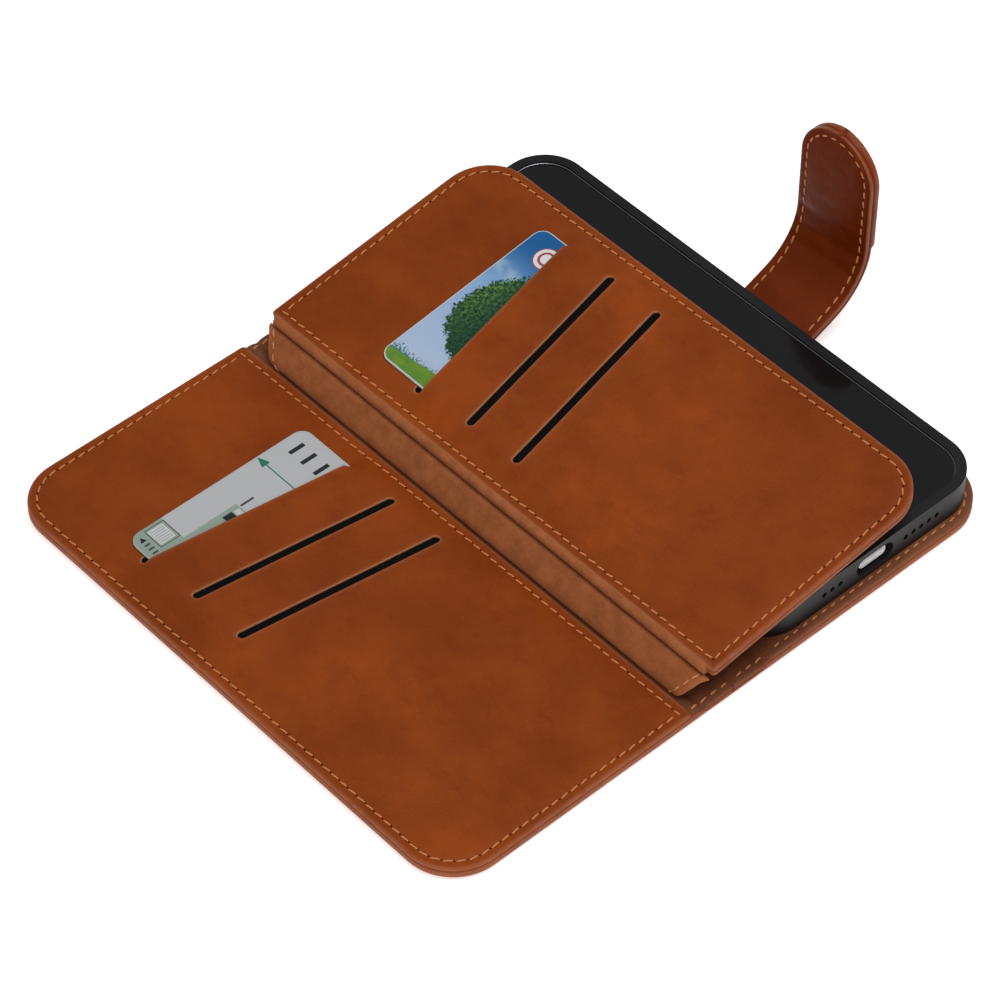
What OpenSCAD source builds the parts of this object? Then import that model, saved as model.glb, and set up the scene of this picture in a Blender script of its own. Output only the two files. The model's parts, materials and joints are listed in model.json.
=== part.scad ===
/* [Covers] */
// Length of both covers along the spine
cover_len = 158; // [154:1:166]
// Width of one cover, from its fold line to its free edge
cover_w = 77.4; // [77.4:0.2:82]
// Radius of the outer corners of the covers
corner_r = 13.5; // [8:0.5:16]
// Width of the spine between its two fold lines
spine_w = 18.8; // [18.8:0.1:20]
// Gap between the front cover's fold line and its pocket panel
panel_gap = 3.7; // [3.5:0.1:5]

/* [Leather] */
// Thickness of the outer leather of the covers
outer_t = 1.2; // [1:0.1:1.2]
// Thickness of the stiff board inside a cover
board_t = 1; // [0.8:0.1:1]
// Thickness of the inner leather or lining of a cover
inner_t = 1.2; // [1.2:0.1:1.3]
// Width of the turned edge around a board
turned_w = 2.5; // [2:0.1:3.5]
// Distance of a seam from the edge
seam_inset = 2.2; // [1.8:0.1:2.8]
// Width of the sewing thread
thread_w = 0.5; // [0.4:0.05:0.7]
// Height of the sewing thread above the leather
thread_h = 0.15; // [0.1:0.05:0.2]

/* [Card pockets] */
// Width of a card
card_w = 53.98; // [53.98]
// Length of a card
card_len = 85.6; // [85.6]
// Thickness of a card
card_t = 0.76; // [0.76]
// Place of a card's top edge along the spine
card_top = 47.3; // [44:0.1:50]
// Distance between two slits along the spine
slit_step = 16.1; // [14:0.1:17]
// Rise of a slit from its spine end to its outer end
slit_rise = 8; // [4:0.5:8]
// Width of the opening of a slit
slit_w = 2.2; // [1.6:0.1:2.4]
// Lean of a card that dips into its pocket, in degrees
card_lean = 0.8; // [0.7:0.05:0.9]

/* [Inner page] */
// Width of the page from its ridge to its free edge
page_w = 72.1; // [70:0.1:72.5]
// Length of the page along the spine
page_len = 154.2; // [150:0.1:156]
// Tilt of the page above the phone, in degrees
page_tilt = 8; // [7:0.5:10]
// Height of the ridge above the table
ridge_z = 11.7; // [11.5:0.1:13]

/* [Phone and shell] */
// Length of the phone shell
shell_len = 152.6; // [151:0.1:153]
// Width of the phone shell
shell_w = 74.7; // [74:0.1:74.8]
// Height of the phone shell
shell_h = 8.5; // [8.3:0.1:8.6]
// Wall of the phone shell
shell_wall = 1.6; // [1.4:0.1:1.8]

/* [Strap] */
// Width of the closing strap
strap_w = 23.6; // [20:0.2:26]
// Place of the strap's middle along the spine
strap_y = -2; // [-6:0.5:6]
// Length of the strap that stands beside the closed case
strap_side = 21.3; // [21:0.1:22]
// Length of the strap's bend
strap_bend = 9.3; // [8:0.1:11]
// Length of the strap's tab
strap_tab = 29.7; // [27:0.1:33]

/* [Hidden] */
$fn = 64;
cover_t = outer_t + board_t + inner_t;
fold_x = spine_w / 2;
fold_z = 1.65;
fold_clear = 1.3;
spine_clear = 0.3;
spine_t = 2.6;
stiffener_t = 0.6;
stiffener_w = 14;
edge_x = fold_x + cover_w;
leaf_x = fold_x + fold_clear;
leaf_w = cover_w - fold_clear;
panel_x = fold_x + panel_gap;
panel_w = edge_x - panel_x;
board_z = outer_t;
inner_z = outer_t + board_t;
hair = 0.05;

// Pocket sizes, seen in a panel's own frame with x away from the spine
slit_len = 54.8;
slit_y = card_top - 12.55;
pocket_rim = 2.4;
slit_gap = 0.2;
pocket_floor = 0.17;
pocket_foot = 6.9;
card_play = 0.3;
liner_t = 0.15;
skin_t = 0.55;
pocket_low = card_top - card_len - pocket_foot;
front_pocket_x = 34.7;
page_pocket_x = 36.2;

// Page build-up, in the page's own frame with x away from the ridge
page_t = 2.8;
page_gap = 1.6;
page_y = -1.5;
page_back_t = 0.8;
page_board_t = 0.8;
page_r = 13;
ridge_x = -6.8;
ridge_r = 1.3;
ridge_len = 150;
gusset_foot = [-12.3, 2.95];
gusset_t = 0.9;

// Shell and phone
shell_x = 10.6;
shell_z = cover_t;
shell_r = 11.5;
shell_mid = shell_x + shell_w / 2;
shell_floor = 1.2;
lip_w = 1;
lip_h = 0.6;
phone_gap = 0.1;
phone_w = shell_w - 2 * shell_wall - 2 * phone_gap;
phone_len = shell_len - 2 * shell_wall - 2 * phone_gap;
phone_z = shell_z + shell_floor;
glass_t = 0.4;
glass_z = shell_z + shell_h - lip_h - glass_t;
window_w = 38;
window_len = 40;
window_r = 8;
window_x = shell_x + shell_w - 4.3 - window_w / 2;
window_y = shell_len / 2 - 4.3 - window_len / 2;
port_w = 9;
port_h = 3.2;
port_z = phone_z + 3.1;
hole_r = 0.75;
hole_step = 2.6;
button_h = 2.8;
button_proud = 0.4;
button_t = 1.15;
button_play = 0.15;
button_len = 11;

// Strap: the axis at its root, the two bends, and the slope of each length
root_x = edge_x + 1.9;
root_z = 2.4;
side_slope = 35.7;
bend_slope = 75;
tab_slope = 90;
side_gap = 0.9;
elbow_gap = 1.35;
tab_gap = 0.45;
strap_skin = 1.2;
patch_t = 0.9;
magnet_r = 6;
magnet_t = 1;
magnet_s = 16;
catch_r = 9;
catch_t = 0.5;
bead_r = 0.5;
elbow_x = root_x + strap_side * cos(side_slope);
elbow_z = root_z + strap_side * sin(side_slope);
tab_x = elbow_x + strap_bend * cos(bend_slope);
tab_z = elbow_z + strap_bend * sin(bend_slope);
catch_x = root_x - strap_bend - magnet_s;

// A leaf with two square corners at x = 0 and two round ones at x = w
module leaf(w, len, r) {
  translate([0, -len / 2]) square([w - r, len]);
  translate([0, r - len / 2]) square([w, len - 2 * r]);
  for (side = [-1, 1]) translate([w - r, side * (len / 2 - r)]) circle(r = r);
}

// A leaf drawn in from its edges
module inner_leaf(w, len, r, inset) {
  translate([inset, 0]) leaf(w - 2 * inset, len - 2 * inset, r - inset);
}

// A rectangle about the middle with four round corners
module round_plate(w, len, r) {
  square([w - 2 * r, len], center = true);
  square([w, len - 2 * r], center = true);
  for (sx = [-1, 1]) for (sy = [-1, 1]) {
    translate([sx * (w / 2 - r), sy * (len / 2 - r)]) circle(r = r);
  }
}

// A seam that runs around a leaf, standing proud of z = 0
module seam(w, len, r, inset) {
  linear_extrude(thread_h) difference() {
    inner_leaf(w, len, r, inset);
    inner_leaf(w, len, r, inset + thread_w);
  }
}

// The opening for the phone's camera
module camera_window(low, high) {
  translate([window_x, window_y, low]) linear_extrude(high - low) {
    round_plate(window_w, window_len, window_r);
  }
}

// One slanted slit, lying across a pocket from its spine end upwards
module slit(mid_x, mid_y) {
  lean = atan(slit_rise / slit_len);
  translate([mid_x, mid_y]) rotate(lean) {
    square([slit_len - slit_w, slit_w], center = true);
    for (side = [-1, 1]) translate([side * (slit_len - slit_w) / 2, 0]) circle(r = slit_w / 2);
  }
}

// Everything in a pocket leans about the point where a card leaves its slit
module pocket_frame() {
  translate([0, slit_y, inner_t + 0.1]) rotate([card_lean, 0, 0]) translate([0, -slit_y, 0]) {
    children();
  }
}

// The outline of a pocket below its first slit
module pocket_outline(mid_x, half_w, low) {
  rise = slit_rise * half_w / slit_len;
  polygon([
    [mid_x - half_w, low], [mid_x + half_w, low],
    [mid_x + half_w, slit_y + rise], [mid_x - half_w, slit_y - rise]
  ]);
}

// A card at rest in its pocket
module card(mid_x) {
  pocket_frame() translate([mid_x, card_top - card_len / 2, 0]) linear_extrude(card_t) {
    round_plate(card_w, card_len, 3.18);
  }
}

// The dark liner under a pocket's skin
module pocket_liner(mid_x) {
  half_w = card_w / 2 + card_play;
  pocket_frame() translate([0, 0, card_t + 0.08]) linear_extrude(liner_t) {
    pocket_outline(mid_x, half_w, pocket_low);
  }
}

// A panel of leather with its card pocket: flat at the edges, raised over the card
module pocket_panel(w, len, r, mid_x) {
  half_w = card_w / 2 + card_play;
  skin_z = card_t + 0.08 + liner_t;
  difference() {
    union() {
      linear_extrude(inner_t) leaf(w, len, r);
      intersection() {
        pocket_frame() translate([0, 0, -3]) linear_extrude(3 + skin_z + skin_t) {
          pocket_outline(mid_x, half_w + pocket_rim, pocket_low - pocket_rim);
        }
        translate([0, -len / 2, inner_t / 2]) cube([w, len, 6]);
      }
    }
    pocket_frame() translate([0, 0, -pocket_floor]) linear_extrude(skin_z + pocket_floor) {
      pocket_outline(mid_x, half_w, pocket_low);
    }
    translate([0, 0, -1]) linear_extrude(8) slit(mid_x, slit_y + slit_w / 2 + slit_gap);
    pocket_frame() translate([0, 0, skin_z - hair / 2]) linear_extrude(3) {
      slit(mid_x, slit_y - slit_step);
      slit(mid_x, slit_y - 2 * slit_step);
    }
  }
}

// Outer leather of one cover, with the hollow that takes the board
module cover_leather(x0) {
  difference() {
    translate([x0, 0, 0]) linear_extrude(inner_z) leaf(edge_x - x0, cover_len, corner_r);
    translate([x0, 0, board_z]) linear_extrude(board_t + 1) {
      inner_leaf(edge_x - x0, cover_len, corner_r, turned_w);
    }
  }
}

module cover_board(x0) {
  translate([x0, 0, board_z]) linear_extrude(board_t) {
    inner_leaf(edge_x - x0, cover_len, corner_r, turned_w);
  }
}

// Room for the strap's anchor between the layers of the back cover
module anchor_room() {
  translate([edge_x - 9, strap_y - strap_w / 2, board_z]) cube([12, strap_w, board_t + 0.01]);
}

module back_outer_leather() {
  color("saddlebrown") difference() {
    cover_leather(leaf_x);
    camera_window(-1, cover_t);
    anchor_room();
  }
}

module back_board() {
  color("dimgray") difference() {
    cover_board(leaf_x);
    camera_window(-1, cover_t);
    anchor_room();
  }
}

module back_lining() {
  color("sienna") difference() {
    translate([leaf_x, 0, inner_z]) linear_extrude(inner_t) leaf(leaf_w, cover_len, corner_r);
    camera_window(-1, cover_t + 1);
  }
}

module back_stitching() {
  side_inset = 0.9;
  color("peru") translate([leaf_x, 0, cover_t]) linear_extrude(thread_h) difference() {
    leaf(leaf_w - side_inset, cover_len - 2 * 1.9, corner_r - 1.9);
    leaf(leaf_w - side_inset - thread_w, cover_len - 2 * 1.9 - 2 * thread_w, corner_r - 1.9 - thread_w);
    translate([shell_x - leaf_x, 0]) translate([shell_w / 2, 0]) round_plate(shell_w, shell_len, shell_r);
  }
}

// Room in the shell's walls for one button cover
module button_room(x, y) {
  translate([x, y, port_z]) {
    cube([4, button_len + 2 * button_play, button_h + 2 * button_play], center = true);
  }
}

module button_cover(x, y) {
  translate([x, y - button_len / 2, port_z - button_h / 2]) cube([button_t, button_len, button_h]);
}

// Sound holes in a row along the shell's port end
module sound_holes(first, count) {
  for (i = [0 : count - 1]) {
    translate([first + i * hole_step, 3 - shell_len / 2, port_z]) rotate([90, 0, 0]) {
      cylinder(r = hole_r, h = 6);
    }
  }
}

module port_slot(w, h, depth) {
  translate([shell_mid, 0, port_z]) rotate([90, 0, 0]) linear_extrude(depth) {
    round_plate(w, h, h / 2 - 0.01);
  }
}

module phone_shell() {
  color([0.14, 0.14, 0.15]) difference() {
    translate([shell_mid, 0, shell_z]) linear_extrude(shell_h) round_plate(shell_w, shell_len, shell_r);
    translate([shell_mid, 0, phone_z]) linear_extrude(glass_z + glass_t - phone_z) {
      round_plate(shell_w - 2 * shell_wall, shell_len - 2 * shell_wall, shell_r - shell_wall);
    }
    translate([shell_mid, 0, phone_z]) linear_extrude(shell_h) {
      round_plate(shell_w - 2 * shell_wall - 2 * lip_w, shell_len - 2 * shell_wall - 2 * lip_w, 9);
    }
    camera_window(shell_z - 1, phone_z + 1);
    translate([0, 2 - shell_len / 2, 0]) port_slot(port_w + 3, port_h + 2, 4);
    sound_holes(shell_mid - 16.6, 3);
    sound_holes(shell_mid + 10.2, 5);
    button_room(shell_x + shell_w, 26);
    button_room(shell_x, 38);
    button_room(shell_x, 22);
  }
}

module phone_body() {
  color([0.2, 0.2, 0.22]) difference() {
    translate([shell_mid, 0, phone_z]) linear_extrude(glass_z - phone_z) {
      round_plate(phone_w, phone_len, shell_r - shell_wall);
    }
    translate([0, 1 - phone_len / 2, 0]) port_slot(port_w, port_h, 4);
  }
}

module phone_glass() {
  color([0.1, 0.1, 0.11]) translate([shell_mid, 0, glass_z]) linear_extrude(glass_t - hair) {
    round_plate(phone_w - 0.6, phone_len - 0.6, shell_r - shell_wall - 0.3);
  }
}

module phone_port() {
  color("silver") translate([0, 1 - phone_len / 2, 0]) difference() {
    port_slot(port_w - hair, port_h - hair, 1);
    translate([0, -0.4, 0]) port_slot(port_w - 1, port_h - 1, 1);
  }
}

module phone_camera() {
  lens = [[-8, 8], [8, -8], [-8, -9]];
  color([0.16, 0.16, 0.18]) translate([window_x, window_y, 0]) {
    translate([0, 0, phone_z - 0.8]) linear_extrude(0.8) round_plate(window_w - 5, window_len - 5, 6.5);
    for (p = lens) translate([p[0], p[1], phone_z - 1.5]) cylinder(r = 6, h = 0.75);
  }
}

module power_button() {
  color([0.18, 0.18, 0.19]) button_cover(shell_x + shell_w + button_proud - button_t, 26);
}

module volume_up_button() {
  color([0.18, 0.18, 0.19]) button_cover(shell_x - hair, 38);
}

module volume_down_button() {
  color([0.18, 0.18, 0.19]) button_cover(shell_x - hair, 22);
}

module strap_anchor() {
  color("saddlebrown") translate([edge_x - 8.9, strap_y - strap_w / 2 + 0.1, board_z + 0.1]) {
    cube([9.6, strap_w - 0.2, board_t - 0.2]);
  }
}

module spine_slab(low, t, half_w, len) {
  translate([-half_w, -len / 2, low]) cube([2 * half_w, len, t]);
}

module spine_outer_leather() {
  color("saddlebrown") spine_slab(0, outer_t, fold_x - spine_clear, cover_len);
}

module spine_stiffener() {
  color("dimgray") spine_slab(outer_t, stiffener_t, stiffener_w / 2, cover_len - 6);
}

module spine_lining() {
  color("sienna") difference() {
    spine_slab(outer_t, spine_t - outer_t, fold_x - spine_clear, cover_len);
    spine_slab(outer_t - 1, stiffener_t + 1, stiffener_w / 2, cover_len - 6);
  }
}

module front_outer_leather() {
  color("saddlebrown") mirror([1, 0, 0]) cover_leather(leaf_x);
}

module front_board() {
  color("dimgray") difference() {
    mirror([1, 0, 0]) cover_board(leaf_x);
    translate([-catch_x, strap_y, board_z - 1]) cylinder(r = catch_r, h = 1 + catch_t);
  }
}

module front_catch_plate() {
  color("silver") translate([-catch_x, strap_y, board_z]) cylinder(r = catch_r - hair, h = catch_t);
}

module front_hinge_lining() {
  color("sienna") translate([-panel_x, -cover_len / 2, inner_z]) {
    cube([panel_x - leaf_x, cover_len, 0.6]);
  }
}

// The front cover's panel lies in a mirrored frame, so that its x runs away from the spine
module front_frame() {
  mirror([1, 0, 0]) translate([panel_x, 0, inner_z]) children();
}

module front_pocket_leather() {
  color("chocolate") front_frame() pocket_panel(panel_w, cover_len, corner_r, front_pocket_x);
}

module front_pocket_lining() {
  color([0.08, 0.07, 0.07]) front_frame() pocket_liner(front_pocket_x);
}

module front_stitching() {
  color("peru") front_frame() translate([0, 0, inner_t]) seam(panel_w, cover_len, corner_r, seam_inset);
}

module grey_card() {
  color("silver") front_frame() card(front_pocket_x);
}

// The page's frame lies on its ridge, with x towards its free edge
module page_frame() {
  translate([ridge_x, page_y, ridge_z]) rotate([0, -page_tilt, 0]) children();
}

module page_gusset() {
  top = [ridge_x - 1.2, ridge_z - ridge_r - 0.25];
  foot = gusset_foot;
  color([0.55, 0.32, 0.2]) translate([0, page_y + page_len / 2, 0]) rotate([90, 0, 0]) {
    linear_extrude(page_len) {
      polygon([foot, [foot[0] + gusset_t, foot[1]], [top[0] + gusset_t, top[1]], top]);
    }
  }
}

module page_ridge_binding() {
  color("saddlebrown") translate([ridge_x, page_y + ridge_len / 2, ridge_z]) rotate([90, 0, 0]) {
    cylinder(r = ridge_r, h = ridge_len);
  }
}

module page_back_leather() {
  color("saddlebrown") page_frame() translate([page_gap, 0, -page_t / 2]) difference() {
    linear_extrude(page_back_t + page_board_t) leaf(page_w - page_gap, page_len, page_r);
    translate([0, 0, page_back_t]) linear_extrude(2) {
      inner_leaf(page_w - page_gap, page_len, page_r, turned_w);
    }
  }
}

module page_board() {
  color("dimgray") page_frame() translate([page_gap, 0, page_back_t - page_t / 2]) {
    linear_extrude(page_board_t) inner_leaf(page_w - page_gap, page_len, page_r, turned_w);
  }
}

// The page's pocket is cut to the covers' slits, so it is shifted along with them
module page_panel_frame() {
  page_frame() translate([page_gap, 0, page_t / 2 - inner_t]) children();
}

module page_pocket_leather() {
  color("chocolate") page_panel_frame() {
    pocket_panel(page_w - page_gap, page_len, page_r, page_pocket_x - page_gap);
  }
}

module page_pocket_lining() {
  color([0.08, 0.07, 0.07]) page_panel_frame() pocket_liner(page_pocket_x - page_gap);
}

module page_stitching() {
  color("peru") page_panel_frame() translate([0, 0, inner_t]) {
    seam(page_w - page_gap, page_len, page_r, seam_inset);
  }
}

module blue_card() {
  color("skyblue") page_panel_frame() card(page_pocket_x - page_gap);
}

module strap_root_bead() {
  color("saddlebrown") translate([root_x, strap_y + strap_w / 2 - 1, root_z]) rotate([90, 0, 0]) {
    cylinder(r = bead_r, h = strap_w - 2);
  }
}

// A straight length of strap from a point, rising at a slope; z = 0 is the middle of its layers
module strap_frame(x, z, slope) {
  translate([x, strap_y, z]) rotate([0, -slope, 0]) children();
}

module strap_slab(start, stop, low, t) {
  translate([start, -strap_w / 2, low]) cube([stop - start, strap_w, t]);
}

module tab_slab(low, t) {
  translate([tab_gap, 0, low]) linear_extrude(t) leaf(strap_tab - tab_gap, strap_w, strap_w / 2 - 0.01);
}

module side_frame() {
  strap_frame(root_x, root_z, side_slope) children();
}

module bend_frame() {
  strap_frame(elbow_x, elbow_z, bend_slope) children();
}

module tab_frame() {
  strap_frame(tab_x, tab_z, tab_slope) children();
}

module strap_side_outer() {
  color("saddlebrown") side_frame() strap_slab(side_gap, strap_side - elbow_gap, -strap_skin, strap_skin);
}

module strap_side_inner() {
  color("chocolate") side_frame() strap_slab(side_gap, strap_side - elbow_gap, 0, strap_skin);
}

module strap_side_stitching() {
  color("peru") side_frame() for (side = [-1, 1]) {
    translate([side_gap, side * (strap_w / 2 - seam_inset) - thread_w / 2, strap_skin]) {
      cube([strap_side - elbow_gap - side_gap, thread_w, thread_h]);
    }
  }
}

module strap_bend_outer() {
  color("saddlebrown") bend_frame() strap_slab(elbow_gap, strap_bend - tab_gap, -strap_skin, strap_skin);
}

module strap_bend_inner() {
  color("chocolate") bend_frame() strap_slab(elbow_gap, strap_bend - tab_gap, 0, strap_skin);
}

module magnet_room() {
  translate([magnet_s, 0, -strap_skin - magnet_t / 2 + 0.1]) cylinder(r = magnet_r, h = magnet_t);
}

module strap_tab_outer() {
  color("saddlebrown") tab_frame() difference() {
    tab_slab(-strap_skin, strap_skin);
    magnet_room();
  }
}

module strap_tab_inner() {
  color("chocolate") tab_frame() tab_slab(0, strap_skin);
}

module strap_tab_patch() {
  color("saddlebrown") tab_frame() difference() {
    tab_slab(-strap_skin - patch_t, patch_t);
    magnet_room();
  }
}

module strap_tab_stitching() {
  color("peru") tab_frame() translate([tab_gap, 0, strap_skin]) linear_extrude(thread_h) difference() {
    leaf(strap_tab - tab_gap - seam_inset, strap_w - 2 * seam_inset, strap_w / 2 - seam_inset - 0.01);
    translate([-1, 0]) {
      leaf(strap_tab - tab_gap - seam_inset - thread_w + 1, strap_w - 2 * seam_inset - 2 * thread_w,
           strap_w / 2 - seam_inset - thread_w - 0.01);
    }
  }
}

module strap_magnet() {
  color("gray") tab_frame() magnet_room();
}

back_outer_leather();
back_board();
back_lining();
back_stitching();
phone_shell();
phone_body();
phone_glass();
phone_port();
phone_camera();
power_button();
volume_up_button();
volume_down_button();
strap_anchor();
spine_outer_leather();
spine_stiffener();
spine_lining();
front_outer_leather();
front_board();
front_catch_plate();
front_hinge_lining();
front_pocket_leather();
front_pocket_lining();
front_stitching();
grey_card();
page_gusset();
page_ridge_binding();
page_back_leather();
page_board();
page_pocket_leather();
page_pocket_lining();
page_stitching();
blue_card();
strap_root_bead();
strap_side_outer();
strap_side_inner();
strap_side_stitching();
strap_bend_outer();
strap_bend_inner();
strap_tab_outer();
strap_tab_inner();
strap_tab_patch();
strap_tab_stitching();
strap_magnet();
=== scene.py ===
import json
import math
import random

import bpy
from mathutils import Matrix, Vector, noise
from mathutils.geometry import delaunay_2d_cdt


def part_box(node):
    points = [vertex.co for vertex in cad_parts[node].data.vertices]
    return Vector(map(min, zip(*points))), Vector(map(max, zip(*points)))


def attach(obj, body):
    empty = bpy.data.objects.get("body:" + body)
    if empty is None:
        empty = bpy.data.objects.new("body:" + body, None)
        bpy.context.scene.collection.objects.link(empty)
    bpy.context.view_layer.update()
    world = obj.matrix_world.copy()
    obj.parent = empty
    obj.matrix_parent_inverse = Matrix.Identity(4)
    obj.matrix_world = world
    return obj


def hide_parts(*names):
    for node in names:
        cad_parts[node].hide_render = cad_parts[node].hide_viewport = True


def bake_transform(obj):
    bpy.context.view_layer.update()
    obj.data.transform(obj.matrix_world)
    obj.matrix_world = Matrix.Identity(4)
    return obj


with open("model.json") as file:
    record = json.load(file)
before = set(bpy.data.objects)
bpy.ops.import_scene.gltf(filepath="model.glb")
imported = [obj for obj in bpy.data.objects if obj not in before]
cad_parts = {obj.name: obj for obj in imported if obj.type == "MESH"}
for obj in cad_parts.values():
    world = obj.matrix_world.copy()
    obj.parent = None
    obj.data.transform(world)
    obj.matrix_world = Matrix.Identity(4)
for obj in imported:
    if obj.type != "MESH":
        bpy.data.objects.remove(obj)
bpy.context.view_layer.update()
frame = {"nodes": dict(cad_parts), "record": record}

mm = 0.001
rng = random.Random(7)


cameraSetup = {
    "place": (-0.442578, -0.488595, 0.717352),
    "azimuth": -42.162,
    "elevation": 47.362,
    "lens": 148.0,
    "sensor": 36.0,
    "near": 0.01,
    "far": 50.0,
}


def makeCamera(setup):
    data = bpy.data.cameras.new("Camera")
    data.lens = setup["lens"]
    data.sensor_width = setup["sensor"]
    data.clip_start, data.clip_end = setup["near"], setup["far"]
    camera = bpy.data.objects.new("Camera", data)
    scene.collection.objects.link(camera)
    a, e = math.radians(setup["azimuth"]), math.radians(setup["elevation"])
    back = Vector((math.sin(a) * math.cos(e), -math.cos(a) * math.cos(e), math.sin(e)))
    right = Vector((math.cos(a), math.sin(a), 0))
    up = back.cross(right)
    turn = Matrix((right, up, back)).transposed().to_4x4()
    camera.matrix_world = Matrix.Translation(setup["place"]) @ turn
    scene.camera = camera


scene = bpy.context.scene
makeCamera(cameraSetup)
scene.view_settings.view_transform = "Standard"
scene.view_settings.look = "None"

studio = {
    "worldStrength": 0.34,
    "KeyLight": {"place": (0.2, -0.3, 1.5), "size": 0.9, "power": 12.0},
    "FillLight": {"place": (-1.1, -0.5, 0.6), "size": 0.8, "power": 3.0},
    "floor": {"half": 9.0, "drop": 0.0006, "colour": (0.93, 0.93, 0.93, 1), "rough": 0.9, "glow": 0.55},
}


# a square light that looks at the case
def areaLight(name, setup):
    data = bpy.data.lights.new(name, "AREA")
    data.shape = "RECTANGLE"
    data.size = data.size_y = setup["size"]
    data.energy = setup["power"]
    light = bpy.data.objects.new(name, data)
    scene.collection.objects.link(light)
    light.location = setup["place"]
    light.rotation_mode = "QUATERNION"
    light.rotation_quaternion = (-Vector(setup["place"])).to_track_quat("-Z", "Y")


def makeFloor(setup):
    half, z = setup["half"], -setup["drop"]
    mesh = bpy.data.meshes.new("Floor")
    mesh.from_pydata([(-half, -half, z), (half, -half, z), (half, half, z), (-half, half, z)], [],
                     [(0, 1, 2, 3)])
    floor = bpy.data.objects.new("Floor", mesh)
    scene.collection.objects.link(floor)
    material = bpy.data.materials.new("floorPaper")
    material.use_nodes = True
    shader = material.node_tree.nodes["Principled BSDF"]
    shader.inputs["Base Color"].default_value = setup["colour"]
    shader.inputs["Roughness"].default_value = setup["rough"]
    shader.inputs["Emission Color"].default_value = (1, 1, 1, 1)
    shader.inputs["Emission Strength"].default_value = setup["glow"]
    mesh.materials.append(material)


def makeStudio(setup):
    world = bpy.data.worlds.new("World")
    scene.world = world
    world.use_nodes = True
    background = world.node_tree.nodes["Background"]
    background.inputs["Color"].default_value = (1, 1, 1, 1)
    background.inputs["Strength"].default_value = setup["worldStrength"]
    for name in ("KeyLight", "FillLight"):
        areaLight(name, setup[name])
    makeFloor(setup["floor"])


makeStudio(studio)
print("stage: camera, light and floor are set")


def srgb(r, g, b):
    def one(c):
        c /= 255
        return c / 12.92 if c <= 0.04045 else ((c + 0.055) / 1.055) ** 2.4
    return (one(r), one(g), one(b), 1)


# wires the nodes of one material
class Shade:
    def __init__(self, name):
        self.material = bpy.data.materials.new(name)
        self.material.use_nodes = True
        self.tree = self.material.node_tree
        self.shader = self.tree.nodes["Principled BSDF"]
        self.place = self.node("ShaderNodeTexCoord").outputs["Object"]

    # makes a node, sets its properties and its inputs
    def node(self, kind, inputs=None, **values):
        made = self.tree.nodes.new(kind)
        for key, value in values.items():
            setattr(made, key, value)
        for key, value in (inputs or {}).items():
            self.link(value, made.inputs[key])
        return made

    def link(self, value, socket):
        if isinstance(value, bpy.types.NodeSocket):
            self.tree.links.new(value, socket)
        else:
            socket.default_value = value

    def math(self, kind, a, b=0.0):
        return self.node("ShaderNodeMath", {0: a, 1: b}, operation=kind).outputs[0]

    def times(self, a, b):
        return self.math("MULTIPLY", a, b)

    def plus(self, a, b):
        return self.math("ADD", a, b)

    def minus(self, a, b):
        return self.math("SUBTRACT", a, b)

    def noise(self, scale, detail=3.0, rough=0.5, where=None, distort=0.0):
        inputs = {"Vector": where or self.place, "Scale": scale, "Detail": detail, "Roughness": rough,
                  "Distortion": distort}
        return self.node("ShaderNodeTexNoise", inputs).outputs["Fac"]

    def cells(self, scale, feature):
        inputs = {"Vector": self.place, "Scale": scale}
        return self.node("ShaderNodeTexVoronoi", inputs, feature=feature).outputs["Distance"]

    def wave(self, direction, scale, distort=0.0):
        inputs = {"Vector": self.place, "Scale": scale, "Distortion": distort}
        return self.node("ShaderNodeTexWave", inputs, bands_direction=direction).outputs["Fac"]

    # smooth change from a to b while the value goes from low to high
    def span(self, value, low, high, a=0.0, b=1.0):
        inputs = {"Value": value, "From Min": low, "From Max": high, "To Min": a, "To Max": b}
        return self.node("ShaderNodeMapRange", inputs, interpolation_type="SMOOTHSTEP").outputs["Result"]

    def mix(self, share, a, b):
        made = self.node("ShaderNodeMix", data_type="RGBA")
        for key, value in (("Factor", share), ("A", a), ("B", b)):
            self.link(value, made.inputs[key])
        return made.outputs["Result"]

    def attribute(self, name):
        return self.node("ShaderNodeAttribute", attribute_name=name).outputs["Fac"]

    def stretch(self, scale):
        return self.node("ShaderNodeMapping", {"Vector": self.place, "Scale": scale}).outputs["Vector"]

    def bump(self, height, distance, strength=1.0, under=None):
        inputs = {"Strength": strength, "Distance": distance, "Height": height}
        if under:
            inputs["Normal"] = under
        return self.node("ShaderNodeBump", inputs).outputs["Normal"]

    def finish(self, colour, rough, normal, **constants):
        for name, value in (("Base Color", colour), ("Roughness", rough), ("Normal", normal)):
            self.link(value, self.shader.inputs[name])
        for key, value in constants.items():
            self.shader.inputs[key.replace("_", " ")].default_value = value
        return self.material


# sizes of the patterns in leather: a larger number makes a finer one
leatherPattern = {"cloud": 34, "blotch": 15, "streak": 170, "edgeMarkBreakup": 400, "pore": 1500, "cell": 620,
                  "fine": 900, "swell": 90, "shine": 140}


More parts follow.
